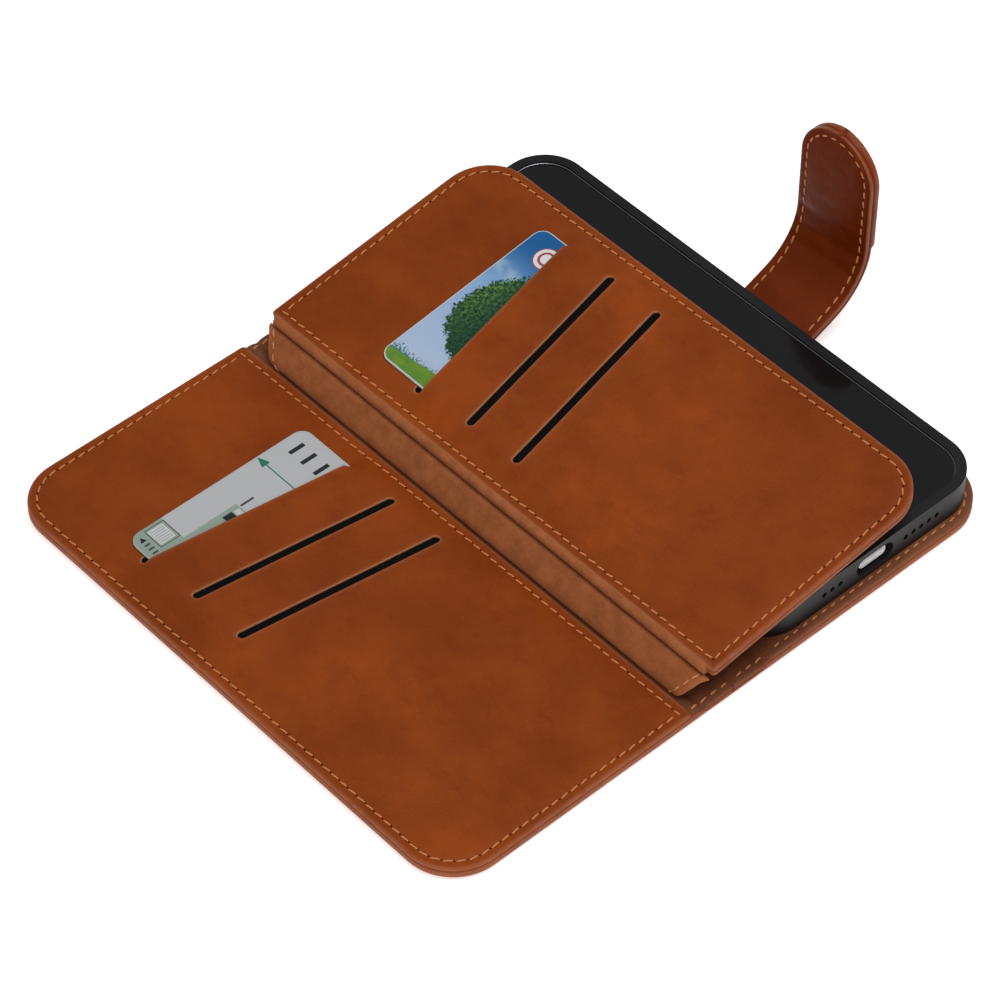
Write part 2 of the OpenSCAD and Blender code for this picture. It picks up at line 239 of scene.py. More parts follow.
def leatherMaterial(name, look, pattern=leatherPattern):
    s = Shade(name)
    cloud = s.noise(pattern["cloud"], 5, 0.62)
    blotch = s.noise(pattern["blotch"], 3, 0.55, distort=0.6)
    streak = s.noise(pattern["streak"], 4, 0.65, where=s.stretch((1, 0.6, 1)))
    colour = s.mix(s.span(cloud, 0.34, 0.66), look["dark"], look["light"])
    colour = s.mix(s.times(s.span(blotch, 0.42, 0.72), look["blotch"]), colour, look["deep"])
    colour = s.mix(s.times(s.span(streak, 0.5, 0.75), 0.3), colour, look["light"])
    colour = s.mix(s.times(s.span(streak, 0.3, 0.5, 1, 0), 0.25), colour, look["deep"])
    # edges are lighter from wear and from a painted highlight on rounded and folded edges, as stored on the
    # mesh
    wearAndEdgeHighlight = s.times(s.attribute("wearAndEdgeHighlight"), s.span(s.noise(pattern["edgeMarkBreakup"], 2), 0.25, 0.7, 0.6, 1.0))
    colour = s.mix(s.times(wearAndEdgeHighlight, look["wearAndHighlightShare"]), colour, look["edge"])
    # raw cut edges along the slits take the raw colour, and folded spine edges take it as a painted highlight
    colour = s.mix(s.attribute("rawEdgeAndFoldHighlight"), colour, look["rawEdgeAndFoldHighlight"])
    cells = s.cells(pattern["cell"], "DISTANCE_TO_EDGE")
    normal = s.bump(s.span(cells, 0.0, 0.12), look["grain"], 0.55)
    normal = s.bump(s.noise(pattern["fine"], 3, 0.6), look["grain"] * 0.8, 0.5, normal)
    normal = s.bump(s.cells(pattern["pore"], "F1"), look["grain"] * 0.35, 0.5, normal)
    normal = s.bump(s.noise(pattern["swell"], 3), look["swell"], 0.6, normal)
    shine = s.span(s.noise(pattern["shine"], 3), 0.3, 0.7, look["rough"] - 0.05, look["rough"] + 0.07)
    return s.finish(colour, s.plus(shine, s.times(wearAndEdgeHighlight, 0.08)), normal, IOR=1.48, Coat_Weight=look["coat"],
                    Coat_Roughness=0.32, Coat_IOR=1.45, Specular_IOR_Level=look["specular"])


leatherLook = {
    "dark": srgb(131, 56, 9), "light": srgb(150, 68, 15), "deep": srgb(110, 42, 6),
    "edge": srgb(172, 104, 72), "rawEdgeAndFoldHighlight": srgb(176, 120, 84), "blotch": 0.45, "wearAndHighlightShare": 0.55,
    "grain": 0.00007, "swell": 0.0004, "rough": 0.46, "coat": 0.0, "specular": 0.12,
}
strapLook = dict(leatherLook, dark=srgb(112, 40, 2), light=srgb(130, 51, 7), deep=srgb(94, 30, 2),
                 rough=0.36, coat=0.03, specular=0.12, swell=0.0006, grain=0.00003)
outerLook = dict(leatherLook, dark=srgb(124, 58, 24), light=srgb(144, 72, 33), deep=srgb(104, 44, 17))
liningLook = {
    "dark": srgb(108, 62, 38), "light": srgb(132, 80, 52), "deep": srgb(90, 50, 30),
    "edge": srgb(140, 88, 66), "rawEdgeAndFoldHighlight": srgb(140, 96, 70), "blotch": 0.4, "wearAndHighlightShare": 0.4,
    "grain": 0.00008, "swell": 0.0006, "rough": 0.62, "coat": 0.0, "specular": 0.12,
}
leather = leatherMaterial("tanLeather", leatherLook)
strapLeather = leatherMaterial("strapLeather", strapLook)
outerLeather = leatherMaterial("outerLeather", outerLook)
liningLeather = leatherMaterial("liningLeather", liningLook)


def suedeMaterial(look):
    s = Shade("suede")
    nap = s.noise(260, 4, 0.65)
    hair = s.noise(2600, 3, 0.7)
    colour = s.mix(s.span(nap, 0.3, 0.7), look["dark"], look["light"])
    colour = s.mix(s.times(s.span(hair, 0.45, 0.75), 0.35), colour, look["hair"])
    colour = s.mix(s.times(s.attribute("wearAndEdgeHighlight"), 0.5), colour, look["hair"])
    normal = s.bump(hair, 0.00012, 0.8)
    normal = s.bump(nap, 0.0003, 0.5, normal)
    return s.finish(colour, s.span(nap, 0.3, 0.7, 0.86, 0.97), normal, Sheen_Weight=0.08,
                    Sheen_Roughness=0.45, IOR=1.4, Specular_IOR_Level=0.1)


suede = suedeMaterial({"dark": srgb(146, 82, 45), "light": srgb(166, 98, 58), "hair": srgb(180, 114, 72)})


def threadMaterial(look):
    s = Shade("thread")
    twist = s.wave("DIAGONAL", 900, 1.5)
    colour = s.mix(twist, look["dark"], look["light"])
    colour = s.mix(s.times(s.span(s.noise(55, 2), 0.4, 0.7), 0.35), colour, look["aged"])
    return s.finish(colour, s.span(s.noise(800, 2), 0.3, 0.7, 0.45, 0.6), s.bump(twist, 0.00006, 0.7),
                    Sheen_Weight=0.2)


thread = threadMaterial({"dark": srgb(188, 108, 52), "light": srgb(228, 152, 90), "aged": srgb(200, 124, 66)})


# dark finish of painted shade for the needle holes
def needleShadeMaterial():
    s = Shade("paintedHoleShade")
    dust = s.noise(900, 3, 0.6)
    return s.finish(s.mix(dust, srgb(38, 16, 6), srgb(66, 30, 12)), s.span(dust, 0.3, 0.7, 0.8, 0.95),
                    s.bump(dust, 0.00002, 0.4), Specular_IOR_Level=0.05)


needleHoleShade = needleShadeMaterial()


def meshMaterial():
    s = Shade("pocketMesh")
    weave = s.times(s.wave("X", 420), s.wave("Y", 520))
    colour = s.mix(weave, srgb(5, 4, 4), srgb(27, 24, 23))
    return s.finish(colour, s.span(weave, 0, 1, 0.9, 0.7), s.bump(weave, 0.0003, 0.8), Specular_IOR_Level=0.1)


pocketMesh = meshMaterial()


def shellMaterial():
    s = Shade("softBlackPlastic")
    smudge = s.noise(40, 4, 0.6)
    grit = s.noise(2200, 3, 0.6)
    colour = s.mix(s.span(smudge, 0.35, 0.7), srgb(14, 14, 16), srgb(22, 22, 25))
    colour = s.mix(s.times(s.span(grit, 0.6, 0.8), 0.3), colour, srgb(38, 38, 42))
    return s.finish(colour, s.span(smudge, 0.3, 0.7, 0.42, 0.52), s.bump(grit, 0.00003, 0.5),
                    IOR=1.46, Specular_IOR_Level=0.35)


def metalMaterial(name, dark, light, rough, grainScale, metallic=1.0):
    s = Shade(name)
    brushed = s.noise(grainScale, 4, 0.6, where=s.stretch((1, 14, 14)))
    colour = s.mix(brushed, dark, light)
    return s.finish(colour, s.span(brushed, 0.3, 0.7, rough - 0.06, rough + 0.08),
                    s.bump(brushed, 0.00001, 0.4), Metallic=metallic)


def glassMaterial():
    s = Shade("blackScreenGlass")
    smear = s.noise(18, 4, 0.6, distort=0.6)
    dust = s.noise(3000, 2, 0.5)
    colour = s.mix(s.span(smear, 0.4, 0.75), srgb(14, 14, 16), srgb(20, 20, 23))
    return s.finish(colour, s.span(smear, 0.35, 0.8, 0.05, 0.13), s.bump(dust, 0.000003, 0.3),
                    IOR=1.5, Specular_IOR_Level=0.35)


def boardMaterial():
    s = Shade("greyBoard")
    fibres = s.noise(700, 4, 0.7, where=s.stretch((1, 3, 1)))
    colour = s.mix(s.span(fibres, 0.3, 0.7), srgb(128, 118, 104), srgb(168, 158, 142))
    return s.finish(colour, s.span(fibres, 0.3, 0.7, 0.8, 0.95), s.bump(fibres, 0.0001, 0.6))


shellPlastic = shellMaterial()
phoneMetal = metalMaterial("darkMetal", srgb(120, 120, 124), srgb(150, 150, 156), 0.38, 300)
portMetal = metalMaterial("portSteel", srgb(206, 207, 209), srgb(232, 232, 234), 0.34, 500, 0.25)
plateSteel = metalMaterial("plateSteel", srgb(150, 150, 154), srgb(186, 186, 190), 0.34, 350)
magnetNickel = metalMaterial("magnetNickel", srgb(160, 158, 152), srgb(204, 202, 196), 0.22, 260)
screenGlass = glassMaterial()
greyBoard = boardMaterial()
print("stage: materials are made")


# the two lists say for each point how far the leather's edge is lightened: by wear and a painted edge
# highlight, and by a raw cut or a painted fold highlight
def newPiece(name, points, faces, materials, wearAndEdgeHighlight=None, rawEdgeAndFoldHighlight=None, sharp=40, faceMaterial=None, uv=None):
    mesh = bpy.data.meshes.new(name)
    mesh.from_pydata([tuple(c * mm for c in p) for p in points], [], faces)
    mesh.validate()
    for material in materials:
        mesh.materials.append(material)
    if wearAndEdgeHighlight:
        for key, values in (("wearAndEdgeHighlight", wearAndEdgeHighlight), ("rawEdgeAndFoldHighlight", rawEdgeAndFoldHighlight or [0.0] * len(wearAndEdgeHighlight))):
            mesh.attributes.new(key, "FLOAT", "POINT").data.foreach_set("value", values)
    if faceMaterial:
        mesh.polygons.foreach_set("material_index", faceMaterial)
    if uv:
        layer = mesh.uv_layers.new(name="cardMap")
        for loop in mesh.loops:
            layer.data[loop.index].uv = uv[loop.vertex_index]
    mesh.shade_smooth()
    mesh.set_sharp_from_angle(angle=math.radians(sharp))
    piece = bpy.data.objects.new(name, mesh)
    scene.collection.objects.link(piece)
    return piece


# adds a second set of points and faces to the first
def addMesh(verts, faces, more):
    faces += [tuple(i + len(verts) for i in face) for face in more[1]]
    verts += more[0]


# faces between closed loops of n points that follow one another
def tubeFaces(loops, n):
    return [(k * n + i, k * n + (i + 1) % n, (k + 1) * n + (i + 1) % n, (k + 1) * n + i)
            for k in range(loops - 1) for i in range(n)]


def smooth(low, high, value):
    t = min(1.0, max(0.0, (value - low) / (high - low)))
    return t * t * (3 - 2 * t)


# points from a towards b, b itself left out
def walk(a, b, count):
    return [(a[0] + (b[0] - a[0]) * i / count, a[1] + (b[1] - a[1]) * i / count) for i in range(count)]


def arc(cx, cy, r, start, stop, count):
    return [(cx + r * math.cos(math.radians(start + (stop - start) * i / count)),
             cy + r * math.sin(math.radians(start + (stop - start) * i / count))) for i in range(count)]


# outline with square corners at x0 and round ones at w, always with the same number of points
def leafLoop(x0, w, length, r, inset, small=0.0):
    a, b, h, q = x0 + inset, w - inset, length / 2 - inset, max(0.05, r - inset)
    c = max(0.04, small - inset)
    points = arc(a + c, c - h, c, 180, 270, 5) + walk((a + c, -h), (b - q, -h), 34)
    points += arc(b - q, q - h, q, -90, 0, 14)
    points += walk((b, q - h), (b, h - q), 70)
    points += arc(b - q, h - q, q, 0, 90, 14)
    points += walk((b - q, h), (a + c, h), 34) + arc(a + c, h - c, c, 90, 180, 5)
    points += walk((a, h - c), (a, c - h), 84)
    return points


# outline and distance of a leaf, the way slab takes them
def leafPair(leaf, small=0.0):
    return (lambda inset: leafLoop(*leaf, inset, small)), (lambda x, y: leafDepth(x, y, *leaf))


# distance of a point inside a leaf from its nearest edge
def leafDepth(x, y, x0, w, length, r):
    cx, cy = w - r, length / 2 - r
    if x > cx and abs(y) > cy:
        return r - math.hypot(x - cx, abs(y) - cy)
    return min(x - x0, w - x, length / 2 - abs(y))


# outline of a slit with round ends, grown by some millimetres
def slitLoop(slit, grow):
    cx, cy, half, r, lean = slit["x"], slit["y"], slit["half"], slit["r"], slit["lean"]
    base = walk((-half, -(r + grow)), (half, -(r + grow)), 44)
    base += arc(half, 0, r + grow, -90, 90, 10)
    base += walk((half, r + grow), (-half, r + grow), 44)
    base += arc(-half, 0, r + grow, 90, 270, 10)
    c, s = math.cos(lean), math.sin(lean)
    return [(cx + x * c - y * s, cy + x * s + y * c) for x, y in base]


def slitDepth(slit, x, y):
    c, s = math.cos(slit["lean"]), math.sin(slit["lean"])
    dx, dy = x - slit["x"], y - slit["y"]
    u, v = dx * c + dy * s, -dx * s + dy * c
    return math.hypot(max(0.0, abs(u) - slit["half"]), v) - slit["r"], u, v


# a rectangle with round corners, grown by some millimetres
def roundLoop(cx, cy, w, length, r, grow):
    left, right, q = cx - (w / 2 + grow), cx + (w / 2 + grow), r + grow
    low, high = cy - (length / 2 + grow), cy + (length / 2 + grow)
    points = walk((left + q, low), (right - q, low), 8) + arc(right - q, low + q, q, -90, 0, 10)
    points += walk((right, low + q), (right, high - q), 8) + arc(right - q, high - q, q, 0, 90, 10)
    points += walk((right - q, high), (left + q, high), 8) + arc(left + q, high - q, q, 90, 180, 10)
    points += walk((left, high - q), (left, low + q), 8) + arc(left + q, low + q, q, 180, 270, 10)
    return points


def noLift(x, y):
    return 0.0


# distances between the points of a sheet with folds, in millimetres
foldMesh = {"step": 2.2, "clear": 0.7, "underStep": 3.0, "underClear": 0.8}


# a sheet with rounded edges: fine triangles on top, rings down its edge, a flat underside.
# outline(inset) gives its loop, depth(x, y) the distance from the edge. Each hole has a loop and a
# distance of its own, the depth of its wall, and goes through or ends in the sheet.
def slab(outline, depth, top, bottom, rounding, holes=(), lift=noLift, spacing=1.5, insets=(),
         lower=noLift, folds=()):
    points, edges, loops = [], [], []
    for loop in [outline(rounding)] + [hole["loop"](hole["edge"]) for hole in holes]:
        start = len(points)
        points += loop
        n = len(loop)
        edges += [(start + i, start + (i + 1) % n) for i in range(n)]
        loops.append((start, n))
    for inset in insets:
        points += [p for p in outline(inset) if all(h["depth"](*p) > h["edge"] + 0.25 for h in holes)]
    for hole in holes:
        for grow in hole["rings"]:
            points += [p for p in hole["loop"](grow) if depth(*p) > rounding + 0.3
                       and all(h is hole or h["depth"](*p) > h["edge"] + 0.2 for h in holes)]
    xMin, xMax = min(p[0] for p in points), max(p[0] for p in points)
    yMin, yMax = min(p[1] for p in points), max(p[1] for p in points)
    # straight rows along a fold keep its edge even when the sheet bends
    clear = foldMesh["clear"]
    for x in folds:
        y = yMin + 1.0
        while y < yMax:
            if depth(x, y) > max(insets) + clear and all(
                    h["depth"](x, y) > max(h["rings"]) + clear for h in holes):
                points.append((x, y))
            y += foldMesh["step"]
    row, y = 0, yMin
    behindFolds = max(folds) + spacing * 0.5 if folds else xMin
    while y < yMax:
        x = xMin + (spacing / 2 if row % 2 else 0)
        while x < xMax:
            if x >= behindFolds and depth(x, y) > max(rounding, *insets) + spacing * 0.55 and all(
                    h["depth"](x, y) > max(h["edge"], *h["rings"]) + spacing * 0.5 for h in holes):
                points.append((x, y))
            x += spacing
        y += spacing * 0.866
        row += 1
    made, _, triangles, origin, _, _ = delaunay_2d_cdt([Vector(p) for p in points], edges, [], 2, 1e-5)
    where = {}
    for new, olds in enumerate(origin):
        for old in olds:
            where[old] = new
    verts = [(p.x, p.y, top + lift(p.x, p.y)) for p in made]
    faces = []
    for t in triangles:
        x, y = sum(verts[i][0] for i in t) / 3, sum(verts[i][1] for i in t) / 3
        if all(hole["depth"](x, y) > hole["edge"] * 0.9 for hole in holes):
            faces.append(tuple(t))

    def ring(loop, z, rise=True):
        start = len(verts)
        verts.extend((x, y, z + (lift(x, y) if rise else lower(x, y))) for x, y in loop)
        return list(range(start, start + len(loop)))

    def bridge(a, b):
        n = len(a)
        faces.extend((a[i], b[i], b[(i + 1) % n], a[(i + 1) % n]) for i in range(n))

    last = [where[i] for i in range(loops[0][1])]
    for angle in (30, 60, 90):
        t = math.radians(angle)
        now = ring(outline(rounding * (1 - math.sin(t))), top - rounding * (1 - math.cos(t)))
        bridge(last, now)
        last = now
    low = min(rounding, (top - bottom) / 2)
    for angle in (0, 30, 60, 90):
        t = math.radians(angle)
        now = ring(outline(low * (1 - math.cos(t))), bottom + low * (1 - math.sin(t)), False)
        bridge(last, now)
        last = now
    through = [hole for hole in holes if hole.get("through")]
    under, openings = last, []
    for hole, (start, n) in zip(holes, loops[1:]):
        last = [where[i] for i in range(start, start + n)]
        for angle in (30, 60, 90):
            t = math.radians(angle)
            now = ring(hole["loop"](hole["edge"] * (1 - math.sin(t))), top - hole["edge"] * (1 - math.cos(t)))
            bridge(now, last)
            last = now
        now = ring(hole["loop"](0), top - hole["wall"])
        bridge(now, last)
        if hole in through:
            openings.append(now)
    if not folds and not through:
        faces.append(tuple(reversed(under)))
        return verts, faces
    # the underside gets rows of points along each fold, so that it bends with the sheet
    known = list(under) + [i for rim in openings for i in rim]
    edges, start = [], 0
    for rim in [under] + openings:
        edges += [(start + i, start + (i + 1) % len(rim)) for i in range(len(rim))]
        start += len(rim)
    rowGap, clear = foldMesh["underStep"], foldMesh["underClear"]
    for x in folds:
        for k in range(int((yMax - yMin) / rowGap)):
            y = yMin + (k + 0.5) * rowGap
            if depth(x, y) > clear and all(hole["depth"](x, y) > clear for hole in through):
                known.append(len(verts))
                verts.append((x, y, bottom + lower(x, y)))
    flat, _, more, back, _, _ = delaunay_2d_cdt([Vector(verts[i][:2]) for i in known], edges, [], 2, 1e-5)
    index = [known[b[0]] for b in back]
    for t in more:
        x, y = sum(flat[i].x for i in t) / 3, sum(flat[i].y for i in t) / 3
        if all(hole["depth"](x, y) > 0 for hole in through):
            faces.append(tuple(index[i] for i in reversed(t)))
    return verts, faces


# the length of a path of (point, up) pairs up to each of its points
def pathSteps(path, closed):
    steps = [0.0]
    for i in range(len(path) if closed else len(path) - 1):
        steps.append(steps[-1] + (path[(i + 1) % len(path)][0] - path[i][0]).length)
    return steps


# shape of one stitch: place along its half length, thickness there
stitchShape = ((-1, 0.35), (-0.82, 0.82), (-0.4, 1), (0.4, 1), (0.82, 0.82), (1, 0.35))
stitchSides = 6


# separate stitches along a path of (point, up) pairs
def stitchRun(path, pitch, length, radius, slant, closed=True, sink=0.1):
    steps = pathSteps(path, closed)
    count = max(1, round(steps[-1] / pitch))
    real = steps[-1] / count
    verts, faces, k = [], [], 0
    for s in range(count):
        middle = (s + 0.5) * real
        while steps[k + 1] < middle:
            k += 1
        share = (middle - steps[k]) / (steps[k + 1] - steps[k])
        a, b = path[k], path[(k + 1) % len(path)]
        centre = a[0].lerp(b[0], share)
        up = a[1].lerp(b[1], share).normalized()
        along = (b[0] - a[0]).normalized()
        side = up.cross(along)
        lean = math.radians(slant + rng.uniform(-3, 3))
        along = (along * math.cos(lean) + side * math.sin(lean)).normalized()
        side = up.cross(along)
        half = length / 2 * rng.uniform(0.94, 1.04)
        stitch = []
        for t, r in stitchShape:
            drop = -sink - radius * 0.9 * abs(t) ** 3
            for j in range(stitchSides):
                angle = math.radians(60 * j + 30)
                stitch.append(centre + along * (t * half) + side * (math.cos(angle) * radius * r)
                              + up * (math.sin(angle) * radius * r * 0.85 + radius * 0.6 + drop))
        last = len(stitch) - stitchSides
        ends = [tuple(reversed(range(stitchSides))), tuple(range(last, len(stitch)))]
        addMesh(verts, faces, (stitch, tubeFaces(len(stitchShape), stitchSides) + ends))
    return verts, faces


# small dark dots between the stitches of a closed path: painted shade standing in for the needle holes
def needleShadeDots(path, pitch, radius):
    steps = pathSteps(path, True)
    count = max(1, round(steps[-1] / pitch))
    verts, faces, k = [], [], 0
    for hole in range(count):
        middle = max(hole, 0.002) * steps[-1] / count
        while steps[k + 1] < middle:
            k += 1
        a, b = path[k], path[(k + 1) % len(path)]
        centre = a[0].lerp(b[0], (middle - steps[k]) / (steps[k + 1] - steps[k]))
        up = a[1].normalized()
        along = (b[0] - a[0]).normalized()
        side = up.cross(along)
        wide = radius * rng.uniform(0.75, 1.1)
        dot = []
        for j in range(8):
            angle = math.radians(45 * j)
            dot.append(centre + along * (math.cos(angle) * wide * 1.15) + side * (math.sin(angle) * wide)
                       + up * 0.035)
        addMesh(verts, faces, (dot, [tuple(range(8))]))
    return verts, faces


# the part of a round path that starts behind its widest gap
def fromGap(path):
    start = next(i for i in range(len(path)) if (path[i][0] - path[i - 1][0]).length > 20)
    return path[start:] + path[:start]


cover = {"length": 158.0, "edgeX": 86.8, "radius": 13.5}


# start, width, length and corner radius of a cover's leaf
def coverLeaf(start):
    return start, cover["edgeX"], cover["length"], cover["radius"]


pocketSetup = {
    "slitY": 34.75, "step": 16.1, "half": 26.4, "slitR": 1.12, "rise": 8.0, "span": 54.8,
    "mouthShift": 0.75, "mouthUp": 1.2, "mouthHalf": 26.9,
    "lip": 1.62, "lean": 0.8, "cardHalf": 27.0, "low": -45.2,
}
seamSetup = {"inset": 2.3, "pitch": 2.95, "length": 2.6, "radius": 0.21, "slant": 8, "hole": 0.27,
             "groove": 0.16}


def leatherRun(path, radius, closed=True, sink=0.1):
    return stitchRun(path, seamSetup["pitch"], seamSetup["length"], radius, seamSetup["slant"], closed, sink)


# the leather sinks a little along a seam
def seamGroove(depth):
    return seamSetup["groove"] * math.exp(-((depth - seamSetup["inset"]) / 0.55) ** 2)


def pocketPanel(name, leaf, midX, place, panelTop=1.2, panelBottom=0.0):
    setup = pocketSetup
    outline, depthAt = leafPair(leaf, 1.1)
    lean = math.atan(setup["rise"] / setup["span"])

    def slitAt(y):
        return {"x": midX, "y": y, "half": setup["half"], "r": setup["slitR"], "lean": lean}

    outward = (place(Vector((1, 0, 0))) - place(Vector((0, 0, 0)))).x      # which way x runs in the case
    mouth = dict(slitAt(setup["slitY"] + setup["mouthUp"]), half=setup["mouthHalf"],
                 x=midX - setup["mouthShift"] * (1 if outward > 0 else -1))
    slits = [mouth, slitAt(setup["slitY"] - setup["step"]), slitAt(setup["slitY"] - 2 * setup["step"])]

    def lift(x, y):
        _, u, v = slitDepth(mouth, x, y)
        height = setup["lip"] - (setup["slitY"] - y) * math.tan(math.radians(setup["lean"]))
        side = 1 - smooth(setup["cardHalf"] - 1.0, setup["cardHalf"] + 9.0, abs(x - midX))
        foot = smooth(setup["low"] - 22, setup["low"] + 4, y)
        open_ = 1 - smooth(setup["cardHalf"] - 0.5, setup["cardHalf"] + 1.2, abs(u))
        below = smooth(0.2, 3.5, -v) * (1 - open_) + (1.0 if v < 0 else 0.0) * open_
        raised = max(0.0, height) * side * foot * below
        # each lower slit lets the leather between two slits lie a touch deeper
        for other in slits[1:]:
            d, _, across = slitDepth(other, x, y)
            raised += (0.16 if across < 0 else -0.12) * math.exp(-(d / 3.2) ** 2) * side
        depth = depthAt(x, y)
        raised -= seamGroove(depth)
        raised += 0.10 * smooth(2.6, 6.0, depth) - 0.04
        raised += 0.12 * noise.noise(Vector((x * 0.05, y * 0.05, 3.1))) * smooth(3, 9, depth)
        return raised

    holes = [{"loop": (lambda g, s=s: slitLoop(s, g)), "depth": (lambda x, y, s=s: slitDepth(s, x, y)[0]),
              "edge": 0.18, "wall": 0.42, "rings": (0.45, 0.9, 1.6)} for s in slits]
    verts, faces = slab(outline, depthAt, panelTop, panelBottom, 0.5, holes, lift, 1.5,
                        (1.0, 1.6, 2.0, 2.3, 2.6, 3.0, 3.8))
    wearAndEdgeHighlight, rawEdgeAndFoldHighlight = [], []
    for x, y, z in verts:
        edge = 1 - smooth(0.1, 0.9, depthAt(x, y))
        near = min(slitDepth(s, x, y)[0] for s in slits)
        upper = max((1 - smooth(0.05, 0.42, abs(slitDepth(s, x, y)[0]))) *
                    (1.0 if slitDepth(s, x, y)[2] > 0 else 0.35) for s in slits)
        # edges and slit rims are lighter from wear and a painted highlight
        wearAndEdgeHighlight.append(max(edge, 0.5 * (1 - smooth(0.2, 1.2, near))))
        # the folded spine edge of each leaf is painted light as a highlight, strongest on the page
        foldHighlight = (1 - smooth(0.25, 0.6, x - leaf[0])) * (1 - smooth(leaf[2] / 2 - 2, leaf[2] / 2 - 0.5, abs(y)))
        rawEdgeAndFoldHighlight.append(max(0.0, upper * 0.75, foldHighlight * (0.55 if outward > 0 else 0.12)))
    piece = newPiece(name, [place(Vector(v)) for v in verts], faces, [leather], wearAndEdgeHighlight, rawEdgeAndFoldHighlight)
    path = []
    for x, y in leafLoop(*leaf, seamSetup["inset"]):
        a = place(Vector((x, y, panelTop + lift(x, y))))
        path.append((a, (place(Vector((x, y, panelTop + 1))) - place(Vector((x, y, panelTop)))).normalized()))
    if outward < 0:
        path.reverse()
    seam = leatherRun(path, seamSetup["radius"])
    # dark dots of painted shade stand in for the needle holes between the stitches
    dots = needleShadeDots(path, seamSetup["pitch"], seamSetup["hole"])
    kinds = [0] * len(seam[1]) + [1] * len(dots[1])
    addMesh(*seam, dots)
    stitches = newPiece(name + "Seam", *seam, [thread, needleHoleShade], faceMaterial=kinds)
    # black mesh under the two lower slits, and a strip of it on the pocket's floor at the mouth
    meshVerts, meshFaces = [], []
    for s in (slits[1], slits[2], mouth):
        start, c, n = len(meshVerts), math.cos(lean), math.sin(lean)
        for i in range(61):
            u = (setup["half"] + 1.6) * (i / 30 - 1)
            for v in (-2.0, -0.7, 0.7, 2.0):
                x, y = s["x"] + u * c - v * n, s["y"] + u * n + v * c
                cardTop = panelTop + 0.9 - (setup["slitY"] - y) * math.tan(math.radians(setup["lean"]))
                height = max(panelTop + lift(x, y) - 0.42, cardTop) if s is not mouth else panelTop - 0.1
                meshVerts.append(place(Vector((x, y, height))))
        for i in range(60):
            for j in range(3):
                a = start + i * 4 + j
                meshFaces.append((a, a + 4, a + 5, a + 1))
    lining = newPiece(name + "Mesh", meshVerts, meshFaces, [pocketMesh])
    return piece, stitches, lining


# where the two leaves start, and how far the page is tilted
frontHinge = {"x": -13.1, "z": 2.2}
pageHinge = {"x": -6.8, "y": -1.5, "z": 11.7, "tilt": math.radians(8.0)}


def frontPlace(v):
    return Vector((frontHinge["x"] - v.x, v.y, frontHinge["z"] + v.z))


def pagePlace(v):
    c, s = math.cos(pageHinge["tilt"]), math.sin(pageHinge["tilt"])
    return Vector((pageHinge["x"] + v.x * c - v.z * s, v.y + pageHinge["y"],
                   pageHinge["z"] + v.x * s + v.z * c))


frontPanel, frontSeam, frontMesh = pocketPanel("FrontPanel", (0.0, 73.7, 158.0, 13.5), 34.7, frontPlace)
frontPanel.data.flip_normals()
frontMesh.data.flip_normals()
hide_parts("front_pocket_leather")
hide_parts("front_stitching")
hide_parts("front_pocket_lining")
for piece, slotName in ((frontPanel, "leather"), (frontSeam, "thread"), (frontMesh, "pocket_mesh")):
    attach(piece, "front_cover")

pageLeaf = (0.1, 72.1, 154.2, 13.0)      # start, width, length and corner radius
pagePanel, pageSeam, pageMesh = pocketPanel("PagePanel", pageLeaf, 36.2, pagePlace, 1.4, 0.1)
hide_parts("page_pocket_leather")
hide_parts("page_stitching")
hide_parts("page_pocket_lining")
for piece, slotName in ((pagePanel, "leather"), (pageSeam, "thread"), (pageMesh, "pocket_mesh")):
    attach(piece, "page")
print("stage: the card panels are made")


skinSetup = {"spineTop": 1.2, "coverTop": 2.2, "round": 0.55, "seamInset": 2.3}
outerThread = 0.24      # half the thickness of the thread outside
liningThread = {"pitch": 3.05, "length": 2.05, "radius": 0.24, "inset": 1.9}
window = {"width": 38.0, "height": 40.0, "radius": 8.0}


# the camera opening in the back cover
def windowHole(grow, depthOfWall):
    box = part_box("phone_camera")
    cx, cy = (box[0].x + box[1].x) / 2 / mm, (box[0].y + box[1].y) / 2 / mm
    w, h, r = window["width"], window["height"], window["radius"]

    def depth(x, y):
        dx, dy = abs(x - cx) - (w / 2 - r), abs(y - cy) - (h / 2 - r)
        return math.hypot(max(dx, 0), max(dy, 0)) + min(max(dx, dy), 0) - r - grow

    return {"loop": lambda g: roundLoop(cx, cy, w, h, r, grow + g), "depth": depth, "edge": 0.3,
            "wall": depthOfWall, "rings": (0.6,), "through": True}


# where rows of points run along the fold, from the middle of the spine outwards
foldRows = (2.2, 5.0, 6.4, 7.6, 8.5, 9.4, 10.3, 11.3, 13.0, 15.0, 17.5, 20.0)


# the joined edge in the middle of the spine stays square
def squareEdge(verts, reach):
    return [(0.0 if x < reach and abs(y) < cover["length"] / 2 - 1 else x, y, z) for x, y, z in verts]


